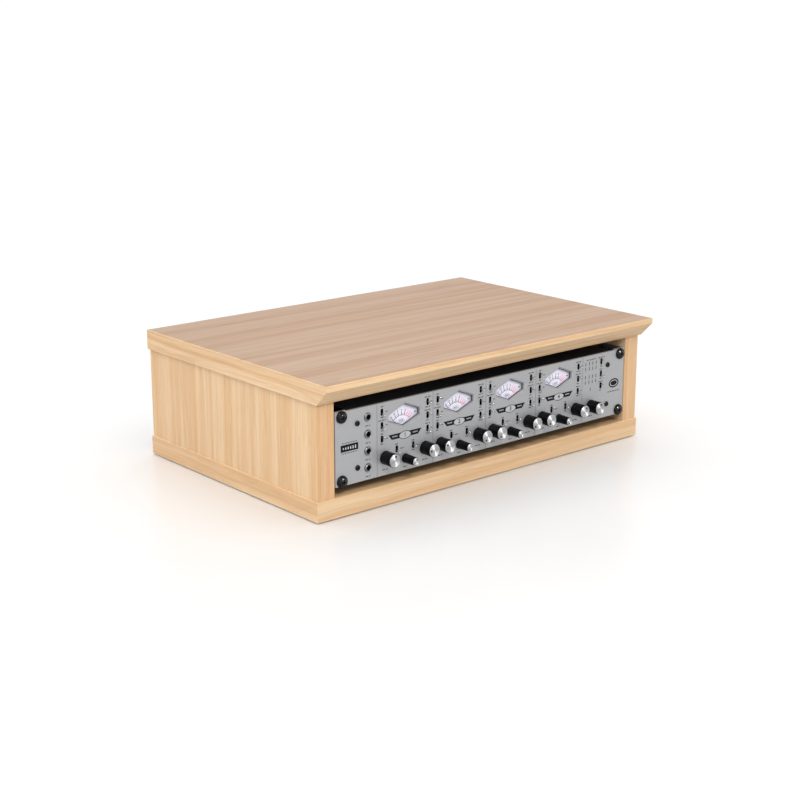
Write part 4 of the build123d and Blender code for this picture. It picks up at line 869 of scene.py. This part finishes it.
def dome(bm, x, up, radius, height, base=0.0):
    """A low round screw head with a round recess, on the rear panel."""
    parts = [(0, 0), (0, 1), (0.35, 1), (0.8, 0.78), (1, 0.5), (0.4, 0.45), (0.4, 0)]
    profile = [(base + height * reach, radius * share) for reach, share in parts]
    lathe(bm, profile, on_rear(x, up), OUTWARD, segments=24)


def rounded(x, up, width, height, radius):
    """A rectangle with round corners, each of five points."""
    corners = [(1, 1, 0), (-1, 1, 90), (-1, -1, 180), (1, -1, 270)]
    points = []
    for side, end, start in corners:
        for k in range(5):
            a = math.radians(start + 22.5 * k)
            points.append((x + side * (width / 2 - radius) + radius * math.cos(a),
                           up + end * (height / 2 - radius) + radius * math.sin(a)))
    return points


def microphone_sockets(metal, screws):
    """The bright rim, contact sleeves and flange screws of each three-pin socket."""
    rim = [(2.0, 11.62), (2.0, 12.5), (2.8, 12.5), (3.15, 12.2), (3.15, 11.62), (2.0, 11.62)]
    sleeve = [(-4.0, 0.95), (-4.0, 1.28), (3.06, 1.28), (3.06, 0.95), (-4.0, 0.95)]
    for x in MIC_X:
        lathe(metal, rim, on_rear(x, 0), OUTWARD, segments=72)
        for across, up in MIC_PINS:
            lathe(metal, sleeve, on_rear(x - across, up), OUTWARD, segments=24)
        for side in (-1, 1):
            dome(screws, x + MIC_SCREW[0] * side, MIC_SCREW[1] * side, 1.7, 0.8, 2.0)


def multi_sockets(metal):
    """The plated shell, face plate and screw posts of each multi-pin connector."""
    for x in MULTI_X:
        shell, inside = rounded(x, 0, 39.0, 9.2, 2.5), rounded(x, 0, 38.04, 8.24, 2.02)
        hoop(metal, shell, inside, MULTI_FLANGE, 5.8, on_rear)
        hoop(metal, rounded(x, 0, 53.0, 12.6, 2.0), shell, MULTI_FLANGE, 0.5, on_rear)
        for side in (-1, 1):
            post, bore = (ellipse(x + MULTI_POST_X * side, 0, wide, wide, 6) for wide in (5.2, 2.6))
            hoop(metal, post, bore, MULTI_FLANGE, 4.6, on_rear)


def rear_details():
    """Socket metal, screws and print on the rear panel, the inlet's pins among them."""
    metal, screws, marks = bmesh.new(), bmesh.new(), bmesh.new()
    microphone_sockets(metal, screws)
    multi_sockets(metal)
    for across, up in INLET_PINS:
        pin = rectangle(INLET_X - across, up, 2.1, 4.1)
        prism(metal, pin, INLET_PIN_BACK, INLET_PIN_LENGTH, on_rear)
    for side in (-1, 1):
        dome(screws, INLET_X + INLET_SCREW_X * side, 0, 2.3, 1.0, 2.4)
        for x in REAR_SCREW_X:
            dome(screws, x, REAR_SCREW_UP * side, 2.0, 0.9)
    for x in MIC_X:
        caption(marks, x, 20.5, 12.0, 2.0, where=on_rear)
        prism(marks, rectangle(x, -19.5, 22.0, 0.5), place=on_rear)
    for x in MULTI_X:
        caption(marks, x, 12.5, 18.0, 2.0, where=on_rear)
    caption(marks, INLET_X, 19.0, 22.0, 2.0, where=on_rear)
    middle, width, height = MIC_GROUP
    outer, inner = rounded(middle, 0, width, height, 3.0), rounded(middle, 0, width - 1.0, height - 1.0, 2.5)
    hoop(marks, outer, inner, place=on_rear)
    for mesh in (metal, screws):
        bmesh.ops.remove_doubles(mesh, verts=mesh.verts, dist=1e-7)
    piece("rear_socket_metal", metal, "nickel")
    piece("rear_screws", screws, "steel")
    piece("rear_print", marks, "ink_pale")


# ---- Studio ----------------------------------------------------------------------------------------------


def add_camera():
    azimuth, pitch = math.radians(CAMERA_AZIMUTH), math.radians(CAMERA_PITCH)
    level = Vector((math.sin(azimuth), math.cos(azimuth), 0.0))
    forward = level * math.cos(pitch) - Vector((0.0, 0.0, math.sin(pitch)))
    right = Vector((math.cos(azimuth), -math.sin(azimuth), 0.0))
    up = right.cross(forward)
    data = bpy.data.cameras.new("camera")
    data.sensor_width = 36.0
    data.lens = CAMERA_LENS
    camera = bpy.data.objects.new("camera", data)
    bpy.context.scene.collection.objects.link(camera)
    turn = Matrix((right, up, -forward)).transposed().to_4x4()
    camera.matrix_world = Matrix.Translation(CAMERA_PLACE) @ turn
    bpy.context.scene.camera = camera


def area_light(spared, name, place, target, size, power):
    """A soft lamp, flagged so that no light from it falls on the spared objects."""
    data = bpy.data.lights.new(name, "AREA")
    data.shape = "RECTANGLE"
    data.size, data.size_y = size
    data.energy = power
    light = bpy.data.objects.new(name, data)
    bpy.context.scene.collection.objects.link(light)
    light.location = place
    light.rotation_euler = (Vector(target) - Vector(place)).to_track_quat("-Z", "Y").to_euler()
    receivers = bpy.data.collections.new(f"{name}_receivers")
    for obj in spared:
        receivers.objects.link(obj)
    for entry in receivers.collection_objects:
        entry.light_linking.link_state = "EXCLUDE"
    light.light_linking.receiver_collection = receivers


def add_world():
    """White to the camera; brighter overhead for diffuse light; and a pale band for reflections."""
    world = bpy.data.worlds.new("studio")
    bpy.context.scene.world = world
    world.use_nodes = True
    tree = world.node_tree
    background = tree.nodes["Background"]
    background.inputs["Color"].default_value = (1.0, 1.0, 1.0, 1.0)
    direction = tree.nodes.new("ShaderNodeTexCoord")
    separate = tree.nodes.new("ShaderNodeSeparateXYZ")
    tree.links.new(direction.outputs["Generated"], separate.inputs["Vector"])
    rays = tree.nodes.new("ShaderNodeLightPath")

    def by_height(low, high, at_low, at_high):
        node = tree.nodes.new("ShaderNodeMapRange")
        tree.links.new(separate.outputs["Z"], node.inputs["Value"])
        for socket, number in zip(("From Min", "From Max", "To Min", "To Max"), (low, high, at_low, at_high)):
            node.inputs[socket].default_value = number
        return node.outputs["Result"]

    def choose(ray, strength, otherwise):
        node = tree.nodes.new("ShaderNodeMix")
        tree.links.new(rays.outputs[ray], node.inputs["Factor"])
        for socket, value in zip(node.inputs[2:4], (otherwise, strength)):
            if isinstance(value, float):
                socket.default_value = value
            else:
                tree.links.new(value, socket)
        return node.outputs["Result"]

    band = tree.nodes.new("ShaderNodeMath")
    band.operation = "MULTIPLY"
    tree.links.new(by_height(0.25, 0.6, 1.04, 0.18), band.inputs[0])
    tree.links.new(by_height(-0.35, 0.05, 0.5, 1.0), band.inputs[1])
    mirrored = choose("Is Glossy Ray", band.outputs["Value"], by_height(0.0, 1.0, 0.6, 1.46))
    tree.links.new(choose("Is Camera Ray", 1.04, mirrored), background.inputs["Strength"])


def add_lights(floor):
    """Soft lamps that leave the floor to the surroundings, and a small low one for the metal controls."""
    area_light([floor], "key", (-2.4, -1.0, 1.5), (0, 0, 0.1), (1.6, 1.6), 15.0)
    area_light([floor], "front", (-0.9, -1.8, 1.7), (-0.1, 0, 0.1), (0.6, 0.4), 20.0)
    area_light([floor], "overhead", (0.2, 0.6, 2.4), (0, 0, 0.1), (2.4, 2.0), 6.0)
    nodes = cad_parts
    broad = [nodes[name] for name in nodes if name.startswith("cabinet") or name == "front_panel"]
    area_light([floor, *broad], "low", (0.66, -2.05, 0.85), (0, 0, 0.1), (0.3, 0.3), 18.0)


def add_floor():
    """A white floor, smooth enough to mirror the housing faintly, and left out of reflections."""
    bm = bmesh.new()
    reach, rows = 6.0, 24
    grid = [[bm.verts.new((-reach + 2 * reach * i / rows, -reach + 2 * reach * j / rows, 0.0))
             for i in range(rows + 1)] for j in range(rows + 1)]
    for j in range(rows):
        for i in range(rows):
            bm.faces.new((grid[j][i], grid[j][i + 1], grid[j + 1][i + 1], grid[j + 1][i]))
    mesh = bpy.data.meshes.new("floor")
    bm.to_mesh(mesh)
    bm.free()
    g = Graph("studio_floor", Roughness=0.25, Specular_IOR_Level=0.28)
    cloud = g.noise(g.place(), 3.0, 2.0)
    g.set("Base Color", g.mix(g.spread(cloud, 0.3, 0.7), (0.92, 0.92, 0.92, 1.0), (0.94, 0.94, 0.94, 1.0)))
    mesh.materials.append(g.material)
    floor = bpy.data.objects.new("floor", mesh)
    floor.visible_glossy = False
    bpy.context.scene.collection.objects.link(floor)
    return floor


add_camera()
finish_cad()
knobs()
levers()
slot_shade_liners()
jacks()
grey_print()
black_print()
pale_print()
number_plates()
dial_prints()
meter_bezels()
rear_details()
add_world()
add_lights(add_floor())
bpy.context.scene.view_settings.view_transform = "Standard"
